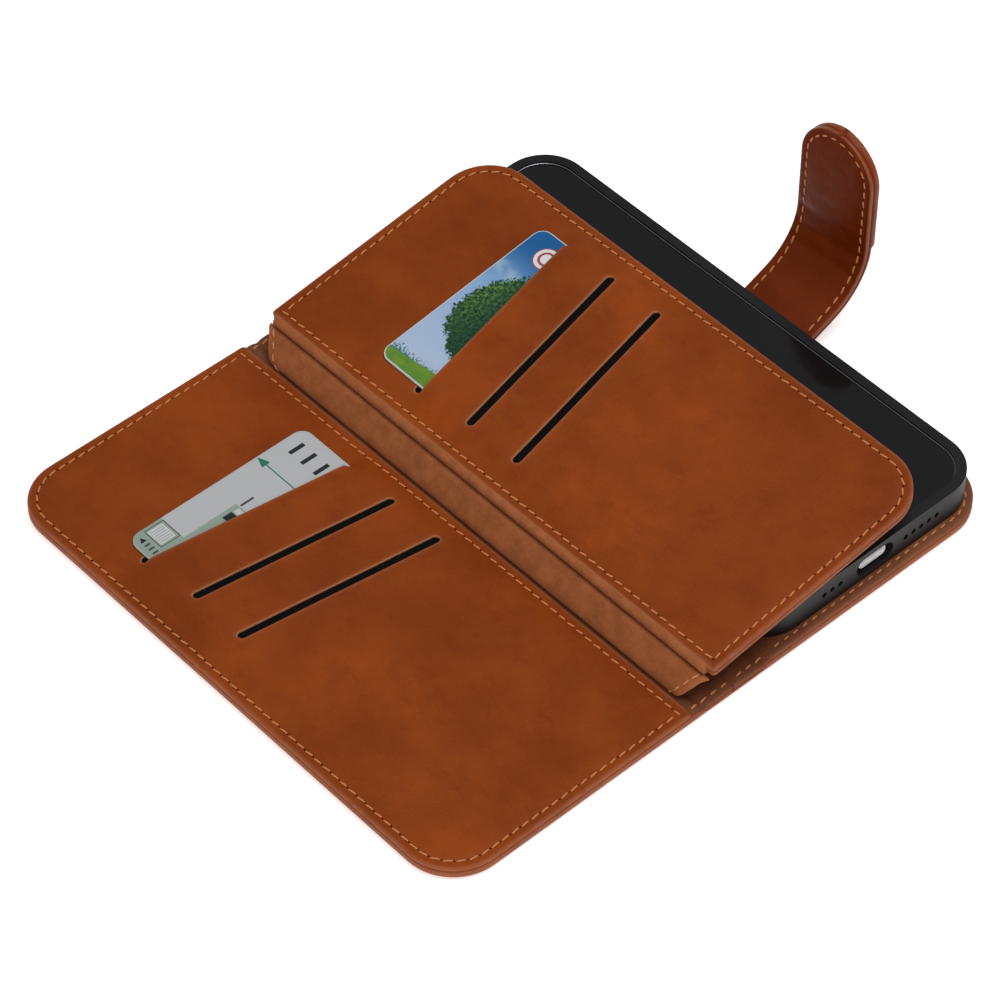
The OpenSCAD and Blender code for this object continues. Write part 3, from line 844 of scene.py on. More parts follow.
# outer leather of one cover with half of the spine: side is 1 for the back cover, -1 for the front
def outerSkin(name, side):
    setup = skinSetup
    whole = coverLeaf(-8)      # so that the middle of the spine doesn't count as an edge

    # built upside down, so that the fine face is the one that shows on the closed case
    def lift(x, y):
        depth = leafDepth(x, y, *whole)
        sink = 0.22 * math.exp(-((depth - setup["seamInset"]) / 0.55) ** 2)
        sink += 0.10 * math.exp(-((x - 9.4) / 1.1) ** 2)
        sink += 0.05 * abs(noise.noise(Vector((x * 0.04, y * 0.04, 7.7 * side))))
        return -sink

    def lower(x, y):
        return (setup["coverTop"] - setup["spineTop"]) * (1 - smooth(9.0, 11.5, x))

    holes = [windowHole(0, 2.15)] if side > 0 else []
    verts, faces = slab(*leafPair(coverLeaf(0)), 0.0, -setup["coverTop"], setup["round"], holes,
                        lift, 2.4, (1.2, 1.8, 2.3, 2.8, 3.6), lower, foldRows)
    verts = [Vector((side * x, y, -z)) for x, y, z in squareEdge(verts, setup["round"] + 0.01)]
    # edges lighter from wear and a painted highlight
    wearAndEdgeHighlight = [0.8 * (1 - smooth(0.0, 1.0, leafDepth(abs(v.x), v.y, *whole))) for v in verts]
    piece = newPiece(name, verts, faces, [outerLeather], wearAndEdgeHighlight)
    if side > 0:
        piece.data.flip_normals()
    path = []
    for x, y in leafLoop(*coverLeaf(-30), setup["seamInset"]):
        if x > 0.4:
            path.append((Vector((side * x, y, 0.22)), Vector((0, 0, -1))))
    seam = leatherRun(fromGap(path), outerThread, False, 0.12)
    stitches = newPiece(name + "Seam", *seam, [thread])
    return piece, stitches


frontSkin, frontSkinSeam = outerSkin("FrontOuterLeather", -1)
backSkin, backSkinSeam = outerSkin("BackOuterLeather", 1)
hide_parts("front_outer_leather")
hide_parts("back_outer_leather", "spine_outer_leather")


liningTop = 3.4      # where the shell stands


# top of the lining: full height under the shell, low in the fold, with a slight wave beside it
def liningHeight(x, y):
    top = liningTop - 0.75 * (1 - smooth(9.6, 12.6, x))
    top -= 0.55 * math.exp(-((x - 9.4) / 1.0) ** 2)
    wave = 0.16 * math.sin(y * 0.31) * math.exp(-((x - 13) / 6) ** 2)
    return top + wave + 0.12 * noise.noise(Vector((x * 0.12, y * 0.06, 1.3)))


def backLining():
    whole = coverLeaf(-8)

    def lift(x, y):
        depth = leafDepth(x, y, *whole)
        groove = 0.16 * math.exp(-((depth - liningThread["inset"]) / 0.5) ** 2) * smooth(9.8, 12, x)
        return liningHeight(x, y) - liningTop - groove

    def lower(x, y):
        return -0.95 * (1 - smooth(9.4, 11.2, x))

    verts, faces = slab(*leafPair(coverLeaf(0)), liningTop, 2.25, 0.4, [windowHole(0.15, 1.1)], lift,
                        2.4, (1.0, 1.5, 1.9, 2.3, 3.0), lower, foldRows)
    verts = [Vector(v) for v in squareEdge(verts, 0.5)]
    # edges lighter from wear and a painted highlight
    wearAndEdgeHighlight = [1 - smooth(0.1, 0.9, leafDepth(v.x, v.y, *whole)) for v in verts]
    piece = newPiece("BackLining", verts, faces, [liningLeather], wearAndEdgeHighlight)
    path = []
    for x, y in leafLoop(*coverLeaf(-30), liningThread["inset"]):
        if x > 0.4:
            path.append((Vector((x, y, liningTop + lift(x, y))), Vector((0, 0, 1))))
    path = [p for p in fromGap(path) if p[0].x < 84.5 or abs(p[0].y) > 66]      # none along the outer edge
    cut = next((i for i in range(1, len(path)) if (path[i][0] - path[i - 1][0]).length > 20), len(path))
    verts, faces = [], []
    for part in (path[:cut], path[cut:]):
        if len(part) > 3:
            addMesh(verts, faces, liningRun(part))
    return piece, newPiece("BackSeam", verts, faces, [thread])


def liningRun(path):
    return stitchRun(path, liningThread["pitch"], liningThread["length"], liningThread["radius"],
                     seamSetup["slant"], False)


# how high the lining of the spine's front half stands: it dips in the fold
def spineDip(x):
    return 0.62 * math.exp(-((x + 9.4) / 1.0) ** 2)


# lining of the other half of the spine, running under the edge of the front panel
def frontLining():
    length, rows, low = cover["length"], 80, 1.25
    xs = [0, -2, -4, -6, -7.4, -8.2, -8.8, -9.4, -10, -10.6, -11.4, -12.2, -13.0, -14.5, -16]
    verts = []
    for k in range(rows + 1):
        y = -length / 2 + 0.3 + (length - 0.6) * k / rows
        drop = 0.35 * (1 - smooth(0, 1.2, length / 2 - abs(y)))
        for x in xs:
            top = 2.65 - spineDip(x) + 0.10 * noise.noise(Vector((x * 0.2, y * 0.07, 5)))
            if x < -11.5:
                top = min(top, 2.62)
            verts.append((x, y, top - drop))
        for x in reversed(xs):
            verts.append((x, y, low if x > -9 else low + 0.97 * smooth(9, 11, -x)))
    n = 2 * len(xs)
    faces = [(a, d, c, b) for a, b, c, d in tubeFaces(rows + 1, n)]
    faces += [tuple(range(n)), tuple(rows * n + i for i in reversed(range(n)))]
    # the ends are lighter from wear and a painted highlight
    wearAndEdgeHighlight = [0.6 * (1 - smooth(0, 1, length / 2 - abs(v[1]))) for v in verts]
    piece = newPiece("SpineLining", verts, faces, [liningLeather], wearAndEdgeHighlight)
    piece.data.flip_normals()
    return piece


# the back cover's seam going on over the front half of the spine, at both ends
def spineSeam():
    verts, faces = [], []
    for end in (-1, 1):
        y = end * (cover["length"] / 2 - liningThread["inset"])
        path = [(Vector((x, y, 2.62 - spineDip(x))), Vector((0, 0, 1)))
                for x in [-12.4 + 0.4 * i for i in range(32)]]
        if end > 0:
            path.reverse()
        addMesh(verts, faces, liningRun(path))
    return newPiece("SpineSeam", verts, faces, [thread])


backLiner, backSeam = backLining()
frontLiner = frontLining()
spineStitches = spineSeam()
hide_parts("back_lining", "spine_lining")
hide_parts("back_stitching")
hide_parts("front_hinge_lining")
for piece, slotName in ((frontSkin, "leather"), (frontSkinSeam, "thread"),
                        (frontLiner, "lining_leather"), (spineStitches, "thread")):
    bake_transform(piece)
for piece, slotName in ((backSkin, "leather"), (backSkinSeam, "thread"),
                        (backLiner, "lining_leather"), (backSeam, "thread")):
    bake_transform(piece)
print("stage: outer leather and lining are made")


pageUnderTop = 1.38      # thickness of the leather under the page


def pageBack():
    def lift(x, y):
        swell = 0.04 * abs(noise.noise(Vector((x * 0.05, y * 0.05, 9))))
        return -seamGroove(leafDepth(x, y, *pageLeaf)) - swell

    verts, faces = slab(*leafPair(pageLeaf, 1.1), pageUnderTop, 0.0, 0.5, (), lift, 2.4,
                        (1.0, 1.8, 2.3, 2.8, 3.6))
    # edges lighter from wear and a painted highlight
    wearAndEdgeHighlight = [1 - smooth(0.1, 1.0, leafDepth(v[0], v[1], *pageLeaf)) for v in verts]
    verts = [pagePlace(Vector((x, y, 0.02 - z))) for x, y, z in verts]
    piece = newPiece("PageBack", verts, faces, [outerLeather], wearAndEdgeHighlight)
    piece.data.flip_normals()
    up = pagePlace(Vector((0, 0, -1))) - pagePlace(Vector((0, 0, 0)))
    path = [(pagePlace(Vector((x, y, 0.02 - pageUnderTop - lift(x, y)))), up)
            for x, y in leafLoop(*pageLeaf, seamSetup["inset"])]
    path.reverse()
    seam = leatherRun(path, outerThread)
    return piece, newPiece("PageBackSeam", *seam, [thread])


pageUnder, pageUnderSeam = pageBack()
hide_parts("page_back_leather")
for piece, slotName in ((pageUnder, "leather"), (pageUnderSeam, "thread")):
    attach(piece, "page")

gussetSetup = {"length": 154.4, "thick": 0.75, "footShort": 8.4, "shift": -1.5, "seamInset": 2.2,
               "pitch": 2.8, "stitch": 2.1, "radius": 0.22, "slant": 6}


# the strip is shorter at its foot and its lower corners are round
def gussetReach(rise):
    return gussetSetup["length"] / 2 - gussetSetup["footShort"] * (1 - rise) ** 1.3 - 0.3 * rise


gussetProfile = [(-9.2, 2.72), (-10.4, 2.78), (-11.3, 2.86), (-11.9, 3.1), (-12.05, 3.6), (-11.9, 4.3),
                 (-11.5, 5.2), (-10.9, 6.2), (-10.3, 7.1), (-9.7, 8.0), (-9.15, 8.9), (-8.75, 9.5),
                 (-8.4, 9.85), (-7.85, 9.96), (-7.2, 9.9)]


# direction of the gusset's profile at one of its points
def gussetSlope(i):
    a, b = gussetProfile[max(0, i - 1)], gussetProfile[min(len(gussetProfile) - 1, i + 1)]
    return Vector((b[0] - a[0], b[1] - a[1])).normalized()


# suede strip: a flange sewn on the spine, then a wall that rises to the page's ridge
def gussetShape():
    rows, n = 90, len(gussetProfile)
    verts, faces, wearAndEdgeHighlight = [], [], []
    for k in range(rows + 1):
        t = -1 + 2 * k / rows
        for layer in (0, 1):
            for i, (x, z) in enumerate(gussetProfile):
                rise = i / (n - 1)
                along = gussetSlope(i)
                off = Vector((-along.y, along.x)) * (gussetSetup["thick"] / 2 * (1 if layer else -1))
                half = gussetReach(rise)
                y = t * half + gussetSetup["shift"]
                swell = 0.22 * noise.noise(Vector((x * 0.3, y * 0.045, 2.0))) * math.sin(math.pi * rise)
                verts.append((x + off.x + swell, y, z + off.y))
                wearAndEdgeHighlight.append(1 - smooth(0, 0.8, half - abs(t) * half))
    row = 2 * n
    for k in range(rows):
        for i in range(n - 1):
            a, b = k * row + i, (k + 1) * row + i
            faces.append((a, a + 1, b + 1, b))
            faces.append((a + n, b + n, b + n + 1, a + n + 1))
        for i in (0, n - 1):
            a, b = k * row + i, (k + 1) * row + i
            faces.append((a, b, b + n, a + n) if i == 0 else (a, a + n, b + n, b))
    for k in (0, rows):
        for i in range(n - 1):
            a = k * row + i
            quad = (a, a + n, a + n + 1, a + 1)
            faces.append(quad if k == 0 else tuple(reversed(quad)))
    return verts, faces, wearAndEdgeHighlight


gussetVerts, gussetFaces, gussetWorn = gussetShape()
gusset = newPiece("PageGusset", gussetVerts, gussetFaces, [suede], gussetWorn, sharp=55)
gusset.modifiers.new("Smooth", "SUBSURF").levels = 1
gusset.modifiers["Smooth"].render_levels = 1
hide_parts("page_gusset")


# short seams parallel to both ends of the strip
def gussetSeams():
    setup = gussetSetup
    verts, faces = [], []
    n = len(gussetProfile)
    for end in (-1, 1):
        path = []
        for i in range(2, n - 1):
            x, z = gussetProfile[i]
            along = gussetSlope(i)
            out = Vector((-along.y, 0, along.x))
            reach = gussetReach(i / (n - 1)) - setup["seamInset"]
            path.append((Vector((x, end * reach + setup["shift"], z)) + out * (setup["thick"] / 2), out))
        if end < 0:
            path.reverse()
        addMesh(verts, faces, stitchRun(path, setup["pitch"], setup["stitch"], setup["radius"],
                                        setup["slant"], False))
    return newPiece("GussetSeams", verts, faces, [thread])


gussetSeam = gussetSeams()
for piece, slotName in ((gusset, "suede"), (gussetSeam, "thread")):
    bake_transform(piece)
print("stage: page back and gusset are made")


strapSetup = {
    "y": -2.0, "width": 23.6, "inner": 1.2, "outer": 1.2, "patch": 0.9, "patchFrom": 33.2, "crease": 0.28,
    "start": (86.0, 2.33), "slope": 23, "straight": 12.4,      # leaves the cover's edge
    "bendCentre": (90.4, 23.8), "bendRadius": 18.0, "rise": 29.7,      # then bends and stands up
    "seamInset": 2.1, "seamStart": 2.5, "groove": 0.13,
    "pitch": 3.0, "stitch": 2.3, "radius": 0.25, "slant": 7,
}


# middle line of the strap: points, directions and length so far
def strapLine():
    setup = strapSetup
    start, slope = Vector(setup["start"]), math.radians(setup["slope"])
    (x, z), r = setup["bendCentre"], setup["bendRadius"]
    outwards = Vector((math.cos(slope), math.sin(slope)))
    points = [start + outwards * (setup["straight"] * i / 17) for i in range(17)]
    for i in range(31):
        a = math.radians(-67 + 67 * i / 31)
        points.append(Vector((x, z)) + Vector((math.cos(a), math.sin(a))) * r)
    points += [Vector((x + r, z + setup["rise"] * i / 42)) for i in range(43)]
    line, run = [], 0.0
    for i, p in enumerate(points):
        a, b = points[max(0, i - 1)], points[min(len(points) - 1, i + 1)]
        if i:
            run += (p - points[i - 1]).length
        line.append((p, (b - a).normalized(), run))
    return line


strapPath = strapLine()
strapLength = strapPath[-1][2]


def strapHalf(s):
    half = strapSetup["width"] / 2
    left = strapLength - s
    return half if left > half else math.sqrt(max(0.0, half * half - (half - left) ** 2))


# finer sections near the round tip
def strapSections():
    line = [row for row in strapPath if strapLength - row[2] > 1.2]
    p, d, s = strapPath[-1]
    for left in (1.0, 0.6, 0.32, 0.14, 0.04):
        line.append((p - d * left, d, strapLength - left))
    return line


# creases across the bend, and a light swell elsewhere
def strapWave(s, u):
    bend = math.exp(-((s - 27) / 9) ** 2)
    folds = math.sin(s * 1.15 + 0.6 * math.sin(u * 0.25)) * 0.5 + 0.5
    return (-strapSetup["crease"] * bend * folds ** 2
            + 0.10 * noise.noise(Vector((s * 0.09, u * 0.12, 4.0))))


# how far the outer face lies from the middle: the patch on the tab makes it thicker
def strapOuter(s):
    patch = strapSetup["patch"] * smooth(strapSetup["patchFrom"] - 0.3, strapSetup["patchFrom"] + 0.3, s)
    return -(strapSetup["outer"] + patch)


# one closed cross-section, with a fine line between its two layers
def strapRing(p, d, s):
    half = strapHalf(s)
    wide = half > 4
    up = Vector((-d.y, d.x))
    top, low = strapSetup["inner"], strapOuter(s)
    rim = min(0.45, half * 0.6)
    flat = max(0.02, half - rim)
    seam = max(0.0, half - strapSetup["seamInset"])
    line = min(0.3, half * 0.5)

    def groove(u):
        return strapSetup["groove"] * math.exp(-((abs(u) - seam) / 0.5) ** 2) if wide else 0.0

    stops = sorted({-flat, -seam - 0.5, -seam, -seam + 0.5, seam - 0.5, seam, seam + 0.5, flat} if wide
                   else {flat * a for a in (-1, -0.9, -0.8, -0.7, 0.7, 0.8, 0.9, 1)})
    across = stops[:4] + [stops[3] + (stops[4] - stops[3]) * i / 6 for i in range(1, 6)] + stops[4:]
    shape = [(u, top - groove(u) + strapWave(s, u) * (1 if abs(u) < flat - 1 else 0.4)) for u in across]
    shape += [(flat + rim * 0.7, top - 0.13), (flat + rim, top - 0.45)]
    shape += [(half, 0.16), (half - line, 0.0), (half, -0.16)]
    shape += [(flat + rim, low + 0.45), (flat + rim * 0.7, low + 0.13)]
    shape += [(u, low + groove(u)) for u in reversed(across)]
    shape += [(-flat - rim * 0.7, low + 0.13), (-flat - rim, low + 0.45)]
    shape += [(-half, -0.16), (-half + line, 0.0), (-half, 0.16)]
    shape += [(-flat - rim, top - 0.45), (-flat - rim * 0.7, top - 0.13)]
    ring = [Vector((p.x + up.x * z, strapSetup["y"] + u, p.y + up.y * z)) for u, z in shape]
    # the rounded rims are marked lighter from wear and a painted highlight
    edge = [1.0 if abs(u) > flat + 0.01 and abs(z) > 0.3 else 0.0 for u, z in shape]
    return ring, edge


def strapPart(name, first, last, material, capStart, capEnd):
    verts, wearAndEdgeHighlight = [], []
    rows = [row for row in strapSections() if first - 1e-6 <= row[2] <= last + 1e-6]
    for row in rows:
        ring, edge = strapRing(*row)
        verts += ring
        wearAndEdgeHighlight += edge
    n = len(ring)
    faces = tubeFaces(len(rows), n)
    if capStart:
        faces.append(tuple(range(n)))
    if capEnd:
        faces.append(tuple(reversed(range(len(verts) - n, len(verts)))))
    return newPiece(name, verts, faces, [material], wearAndEdgeHighlight, sharp=70)


def strapSurface(s, u, inner):
    k = next((i for i in range(1, len(strapPath)) if strapPath[i][2] >= s), len(strapPath) - 1)
    a, b = strapPath[k - 1], strapPath[k]
    share = (s - a[2]) / (b[2] - a[2])
    p, d = a[0].lerp(b[0], share), a[1].lerp(b[1], share).normalized()
    up = Vector((-d.y, d.x))
    groove = strapSetup["groove"]
    z = strapSetup["inner"] - groove + strapWave(s, u) * 0.4 if inner else strapOuter(s) + groove
    out = Vector((up.x, 0, up.y)) * (1 if inner else -1)
    return Vector((p.x + up.x * z, strapSetup["y"] + u, p.y + up.y * z)), out


# stitches of one length of the strap, on both faces
def strapSeam(name, first, last):
    setup = strapSetup
    verts, faces = [], []
    half = setup["width"] / 2
    reach, straight = half - setup["seamInset"], strapLength - half
    runs = [setup["seamStart"] + 0.5 * i for i in range(int((straight - setup["seamStart"]) / 0.5))]
    track = [(s, -reach) for s in runs]
    track += [(straight + reach * math.sin(math.radians(a)), -reach * math.cos(math.radians(a)))
              for a in range(0, 181, 4)]
    track += [(s, reach) for s in reversed(runs)]
    size = len(stitchShape) * stitchSides
    for inner in (True, False):
        path = [strapSurface(s, u, inner) for s, u in track]
        slant = setup["slant"] if inner else -setup["slant"]
        v, f = stitchRun(path, setup["pitch"], setup["stitch"], setup["radius"], slant, False)
        perStitch = len(f) // (len(v) // size)
        for k in range(len(v) // size):
            points = v[k * size:(k + 1) * size]
            if first <= strapNearest(sum(points, Vector()) / size) < last:
                own = [tuple(i - k * size for i in face) for face in f[k * perStitch:(k + 1) * perStitch]]
                addMesh(verts, faces, (points, own))
    return newPiece(name, verts, faces, [thread])


def strapNearest(point):
    flat = Vector((point.x, point.z))
    return min(strapPath, key=lambda row: (row[0] - flat).length)[2]


def nearestSection(s):
    return min((row[2] for row in strapSections()), key=lambda value: abs(value - s))


# where one length of the strap ends, and the three hinges between them
strapCuts = [strapPath[0][2], nearestSection(13.0), nearestSection(29.6), strapLength]
root, elbow, curl = Vector((88.7, 2.4)), Vector((105.9974, 14.8294)), Vector((108.4044, 23.8125))


# each length of the strap: the bodies it joins, where, how far the blend reaches, what it stands for
strapPlan = [
    ("StrapRoot", 0, "back_cover", "strap_side", root, 1.8, 3.4,
     ("strap_side_outer", "strap_side_inner")),
    ("StrapBend", 1, "strap_side", "strap_bend", elbow, 3.8, 3.4,
     ("strap_bend_outer", "strap_bend_inner")),
    ("StrapTab", 2, "strap_bend", "strap_tab", curl, 2.6, 3.4,
     ("strap_tab_outer", "strap_tab_inner", "strap_tab_patch")),
]
strapThreads = {"StrapRoot": "strap_side_stitching", "StrapTab": "strap_tab_stitching"}
for name, k, below, above, point, before, after, nodes in strapPlan:
    part = strapPart(name, strapCuts[k], strapCuts[k + 1], strapLeather, k == 0, k == 2)
    seam = strapSeam(name + "Seam", strapCuts[k], strapCuts[k + 1])
    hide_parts(*nodes)
    if name in strapThreads:
        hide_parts(strapThreads[name])
    for piece, slotName in ((part, "leather"), (seam, "thread")):
        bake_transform(piece)
print("stage: strap is made")


# draws plain shapes in a card's own millimetres: u across its short side, v down from its top
class CardArt(Shade):
    def __init__(self, name):
        super().__init__(name)
        where = self.node("ShaderNodeUVMap", uv_map="cardMap").outputs["UV"]
        split = self.node("ShaderNodeSeparateXYZ")
        self.link(where, split.inputs[0])
        self.where = where
        self.u, self.v = split.outputs["X"], split.outputs["Y"]

    def box(self, u0, u1, v0, v1):
        across = self.math("ABSOLUTE", self.minus(self.u, (u0 + u1) / 2))
        down = self.math("ABSOLUTE", self.minus(self.v, (v0 + v1) / 2))
        a = self.span(across, (u1 - u0) / 2 - 0.05, (u1 - u0) / 2 + 0.05, 1, 0)
        b = self.span(down, (v1 - v0) / 2 - 0.05, (v1 - v0) / 2 + 0.05, 1, 0)
        return self.times(a, b)

    def distance(self, u, v):
        du, dv = self.minus(self.u, u), self.minus(self.v, v)
        return self.math("SQRT", self.plus(self.times(du, du), self.times(dv, dv)))

    # triangle that points towards the card's top edge
    def wedge(self, u, vTip, vBase, half):
        run = self.math("DIVIDE", self.minus(vTip, self.v), vTip - vBase)
        across = self.math("ABSOLUTE", self.minus(self.u, u))
        inside = self.span(self.minus(across, self.times(run, half)), -0.05, 0.05, 1, 0)
        return self.times(inside, self.span(self.v, vBase - 0.05, vBase + 0.05))

    # narrow border that follows the card's rounded outline
    def rim(self, width):
        halfU, halfV, r = cardSetup["w"] / 2, cardSetup["length"] / 2, cardSetup["r"]
        across = self.minus(self.math("ABSOLUTE", self.u), halfU - r)
        down = self.minus(self.math("ABSOLUTE", self.plus(self.v, halfV)), halfV - r)
        a, b = self.math("MAXIMUM", across, 0), self.math("MAXIMUM", down, 0)
        out = self.math("SQRT", self.plus(self.times(a, a), self.times(b, b)))
        return self.span(out, r - width - 0.05, r - width + 0.05)


cardSetup = {"w": 53.98, "length": 85.6, "top": 47.3, "t": 0.76, "r": 3.18, "round": 0.16}
greyCardInk = {"zone": srgb(146, 160, 149), "ink": srgb(34, 40, 42), "pale": srgb(198, 201, 201),
               "row": srgb(112, 120, 120), "dot": srgb(66, 78, 74), "light": srgb(196, 198, 198),
               "bar": srgb(60, 68, 70), "mark": srgb(38, 44, 48), "green": srgb(38, 118, 92)}
# plain fields and bars on the grey card, in the order of printing: colour, then u and v from and to
greyCardFields = [
    ("zone", 16.9, 28, -90, 1), ("zone", 0.9, 17, -14, -8.4), ("ink", 17.0, 22.8, -7.4, -0.9),
    ("zone", 17.2, 22.6, -7.2, -1.1), ("pale", 17.8, 22.3, -6.7, -1.5),
]
greyCardBars = [
    ("ink", 6.4, 16.2, -11.15, -10.9), ("ink", 3.4, 6.2, -11.6, -9.6), ("light", 1.4, 3.0, -12.5, -9.9),
    ("bar", -3.4, 0.6, -9.9, -9.3),
]


def greyCardMaterial():
    s, inks = CardArt("greyCardPrint"), greyCardInk
    fleck = s.noise(6, 3, 0.6, where=s.where)
    colour = s.mix(fleck, srgb(178, 180, 182), srgb(192, 193, 196))
    for ink, *sides in greyCardFields:
        colour = s.mix(s.box(*sides), colour, inks[ink])
    for i in range(6):
        v = -2.3 - 0.75 * i
        colour = s.mix(s.times(s.box(18.2, 21.9, v - 0.09, v + 0.09), 0.8), colour, inks["row"])
    colour = s.mix(s.wedge(24.7, -1.8, -3.4, 0.9), colour, inks["ink"])
    bars = [("dot", 23.9, 25.5, v - 0.3, v + 0.3) for v in (-4.6, -6.1, -7.6)] + greyCardBars
    bars += [("mark", -23.4, -18.8, v - 0.6, v + 0.6) for v in (-4.4, -8.8, -13.4)]
    for ink, *sides in bars + [("green", -12.5, -12.15, -20, -2.4)]:
        colour = s.mix(s.box(*sides), colour, inks[ink])
    colour = s.mix(s.wedge(-12.3, -0.2, -3.6, 1.3), colour, inks["green"])
    swell = s.bump(s.noise(30, 2, where=s.where), 0.00001, 0.4)
    return s.finish(colour, s.span(fleck, 0.3, 0.7, 0.3, 0.42), swell, IOR=1.46, Specular_IOR_Level=0.25)


def blueCardMaterial():
    s = CardArt("landscapeCardPrint")
    rise = s.span(s.u, -24, 27)
    cloud = s.noise(0.16, 4, 0.55, where=s.where)
    sky = s.mix(rise, srgb(172, 190, 216), srgb(104, 158, 208))
    sky = s.mix(s.span(s.u, 4, 22), sky, srgb(28, 94, 152))
    streak = s.math("ABSOLUTE", s.minus(s.plus(s.u, s.times(s.v, -0.25)), 12.5))
    streak = s.span(streak, 0.2, 3.4, 0.6, 0)
    sky = s.mix(s.times(streak, s.span(cloud, 0.35, 0.6)), sky, srgb(176, 198, 214))
    # grass strip at one end, with a low hedge behind it
    edge = s.plus(s.u, s.times(s.v, 0.12))
    grass = s.mix(s.noise(0.45, 3, 0.6, where=s.where), srgb(40, 118, 56), srgb(132, 156, 40))
    leaf = s.noise(1.5, 4, 0.75, where=s.where)
    hedge = s.plus(edge, s.times(s.span(leaf, 0.3, 0.7), -4.2))
    hedge = s.plus(hedge, s.times(s.span(s.v, -12, -1, 1, 0), 1.2))
    colour = s.mix(s.span(hedge, -24.9, -24.6, 0.9, 0), sky, srgb(46, 100, 84))
    colour = s.mix(s.span(edge, -24.0, -23.6, 1, 0), colour, grass)
    # one large tree, its crown ragged with leaves
    crown = s.distance(-0.5, -18.6)
    ragged = s.plus(crown, s.times(s.noise(1.1, 4, 0.8, where=s.where), 7.5))
    ragged = s.plus(ragged, s.times(s.noise(0.3, 2, where=s.where), 4.5))
    tree = s.span(ragged, 22.0, 22.4, 1, 0)
    light = s.times(s.span(s.noise(1.1, 4, 0.7, where=s.where), 0.42, 0.66), s.span(s.v, -14, -4))
    light = s.times(light, s.span(s.u, -12, 8, 0.35, 1))
    green = s.mix(s.span(leaf, 0.38, 0.62), srgb(14, 38, 32), srgb(34, 84, 52))
    green = s.mix(light, green, srgb(108, 150, 66))
    colour = s.mix(tree, colour, green)
    # plain ring badge, from the outermost ring inwards
    far = s.distance(20.4, -8.4)
    for r, ink in ((3.45, srgb(150, 74, 84)), (3.15, srgb(226, 224, 226)), (2.2, srgb(158, 84, 92)),
                   (1.5, srgb(226, 224, 226))):
        colour = s.mix(s.span(far, r, r + 0.15, 1, 0), colour, ink)
    colour = s.mix(s.rim(0.3), colour, srgb(206, 214, 220))
    return s.finish(colour, s.span(cloud, 0.3, 0.7, 0.26, 0.36), s.bump(leaf, 0.000004, 0.3),
                    IOR=1.46, Specular_IOR_Level=0.25)


def cardEdgeMaterial():
    s = Shade("cardEdge")
    layer = s.noise(1400, 3, 0.6)
    return s.finish(s.mix(layer, srgb(196, 202, 208), srgb(222, 226, 230)),
                    s.span(layer, 0.3, 0.7, 0.4, 0.55), s.bump(layer, 0.00001, 0.5))


cardEdge = cardEdgeMaterial()


def cardPiece(name, midX, base, shift, place, face):
    setup = cardSetup
    cy = setup["top"] - setup["length"] / 2
    lean = math.radians(pocketSetup["lean"])

    def loop(grow):
        return roundLoop(midX, cy, setup["w"], setup["length"], setup["r"], -grow)

    def depth(x, y):
        dx = abs(x - midX) - (setup["w"] / 2 - setup["r"])
        dy = abs(y - cy) - (setup["length"] / 2 - setup["r"])
        return setup["r"] - math.hypot(max(dx, 0), max(dy, 0)) - min(max(dx, dy), 0)

    verts, faces = slab(loop, depth, setup["t"], 0.0, setup["round"], spacing=9.0, insets=(1.0,))
    placed, uv = [], []
    for x, y, z in verts:
        dy = y - pocketSetup["slitY"]
        lifted = Vector((x + shift, pocketSetup["slitY"] + dy * math.cos(lean) - z * math.sin(lean),
                         base + dy * math.sin(lean) + z * math.cos(lean)))
        placed.append(place(lifted))
        uv.append((x - midX, y - setup["top"]))
    # print on the upper face, plain card on the rest
    kinds = [0 if sum(verts[i][2] for i in f) / len(f) > setup["t"] - 0.04 else 1 for f in faces]
    return newPiece(name, placed, faces, [face, cardEdge], uv=uv, faceMaterial=kinds)


# middle of the pocket, height over the leaf, shift across
greyCard = cardPiece("GreyCard", 34.7, 1.3, 0, frontPlace, greyCardMaterial())
greyCard.data.flip_normals()
blueCard = cardPiece("BlueCard", 34.6, 1.5, 1.6, pagePlace, blueCardMaterial())
for piece, node in ((greyCard, "grey_card"), (blueCard, "blue_card")):
    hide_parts(node)
    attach(piece, node)
print("stage: cards are made")


# closed loops of equal length joined one after another
def ringOf(loops):
    return [point for loop in loops for point in loop], tubeFaces(len(loops), len(loops[0]))


portSetup = {"face": -75.45, "width": 8.9, "height": 3.1, "radius": 1.5}
# how far each ring of the port is grown, and how far it lies behind its face
portRings = ((0.0, 1.6), (0.0, 0.15), (-0.15, 0), (-0.5, 0), (-0.6, 0.2), (-0.75, 0.22), (-0.85, 0.05),
             (-1.2, 0.1))


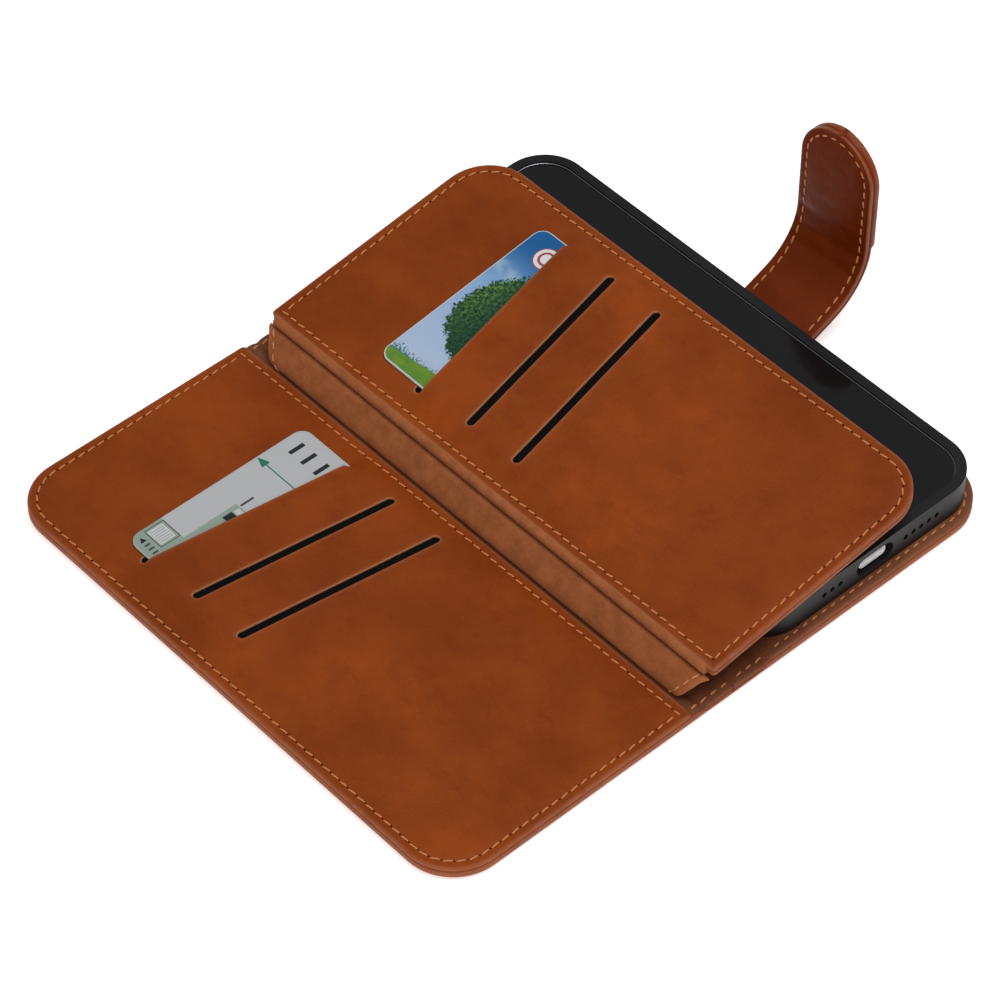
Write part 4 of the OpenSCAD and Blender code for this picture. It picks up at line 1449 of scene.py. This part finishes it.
def portPiece():
    setup = portSetup
    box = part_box("phone_port")
    cx, cz = (box[0].x + box[1].x) / 2 / mm, (box[0].z + box[1].z) / 2 / mm
    loops = [[Vector((x, setup["face"] + deep, z))
              for x, z in roundLoop(cx, cz, setup["width"], setup["height"], setup["radius"], grow)]
             for grow, deep in portRings]
    verts, faces = ringOf(loops)
    faces.append(tuple(range(len(verts) - len(loops[0]), len(verts))))
    return newPiece("ChargingPort", verts, faces, [portMetal], sharp=30)


screenSetup = {"width": 74.7, "radius": 11.5}
screenRings = ((2.45, -0.05), (2.5, 0.13), (2.68, 0.17), (2.82, 0.08), (2.86, -0.05))      # inset, height


# thin metal edge that shows between the shell's lip and the glass
def screenLine():
    shell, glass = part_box("phone_shell"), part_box("phone_glass")
    cx, top, length = (glass[0].x + glass[1].x) / 2 / mm, glass[1].z / mm, (shell[1].y - shell[0].y) / mm
    loops = [[Vector((x, y, top + z))
              for x, y in roundLoop(cx, 0, screenSetup["width"], length, screenSetup["radius"], -inset)]
             for inset, z in screenRings]
    return newPiece("ScreenEdge", *ringOf(loops), [phoneMetal])


port = portPiece()
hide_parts("phone_port")
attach(port, "back_cover")
edgeLine = screenLine()
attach(edgeLine, "back_cover")


# finishes of the pieces that stay as they were built, by slot
keptFinishes = {
    "leather": leather, "lining_leather": liningLeather, "board": greyBoard, "shell": shellPlastic,
    "phone_metal": phoneMetal, "phone_glass": screenGlass, "port_metal": portMetal,
    "steel_plate": plateSteel, "magnet": magnetNickel,
}
roundedEdges = {
    "phone_shell": 0.35, "power_button": 0.3, "volume_up_button": 0.3, "volume_down_button": 0.3,
    "phone_body": 0.2, "phone_glass": 0.12, "phone_camera": 0.2, "strap_anchor": 0.2, "strap_magnet": 0.2,
}
slotOf = {row["node"]: row["material_slot"] for row in frame["record"]["subparts"]}
for node, thing in frame["nodes"].items():
    finish = keptFinishes.get(slotOf.get(node))
    if node == "page_ridge_binding":
        finish = suede
    if finish is None or thing.hide_render:
        continue
    if not thing.material_slots:
        thing.data.materials.append(finish)
    for slot in thing.material_slots:
        slot.material = finish
    if node in roundedEdges:
        bevel = thing.modifiers.new("RoundedEdges", "BEVEL")
        bevel.width = roundedEdges[node] * mm
        bevel.segments = 3
        bevel.limit_method = "ANGLE"
        bevel.angle_limit = math.radians(50)
        bevel.use_clamp_overlap = node != "phone_shell"
        bevel.harden_normals = False
print("stage: kept pieces have their finishes")
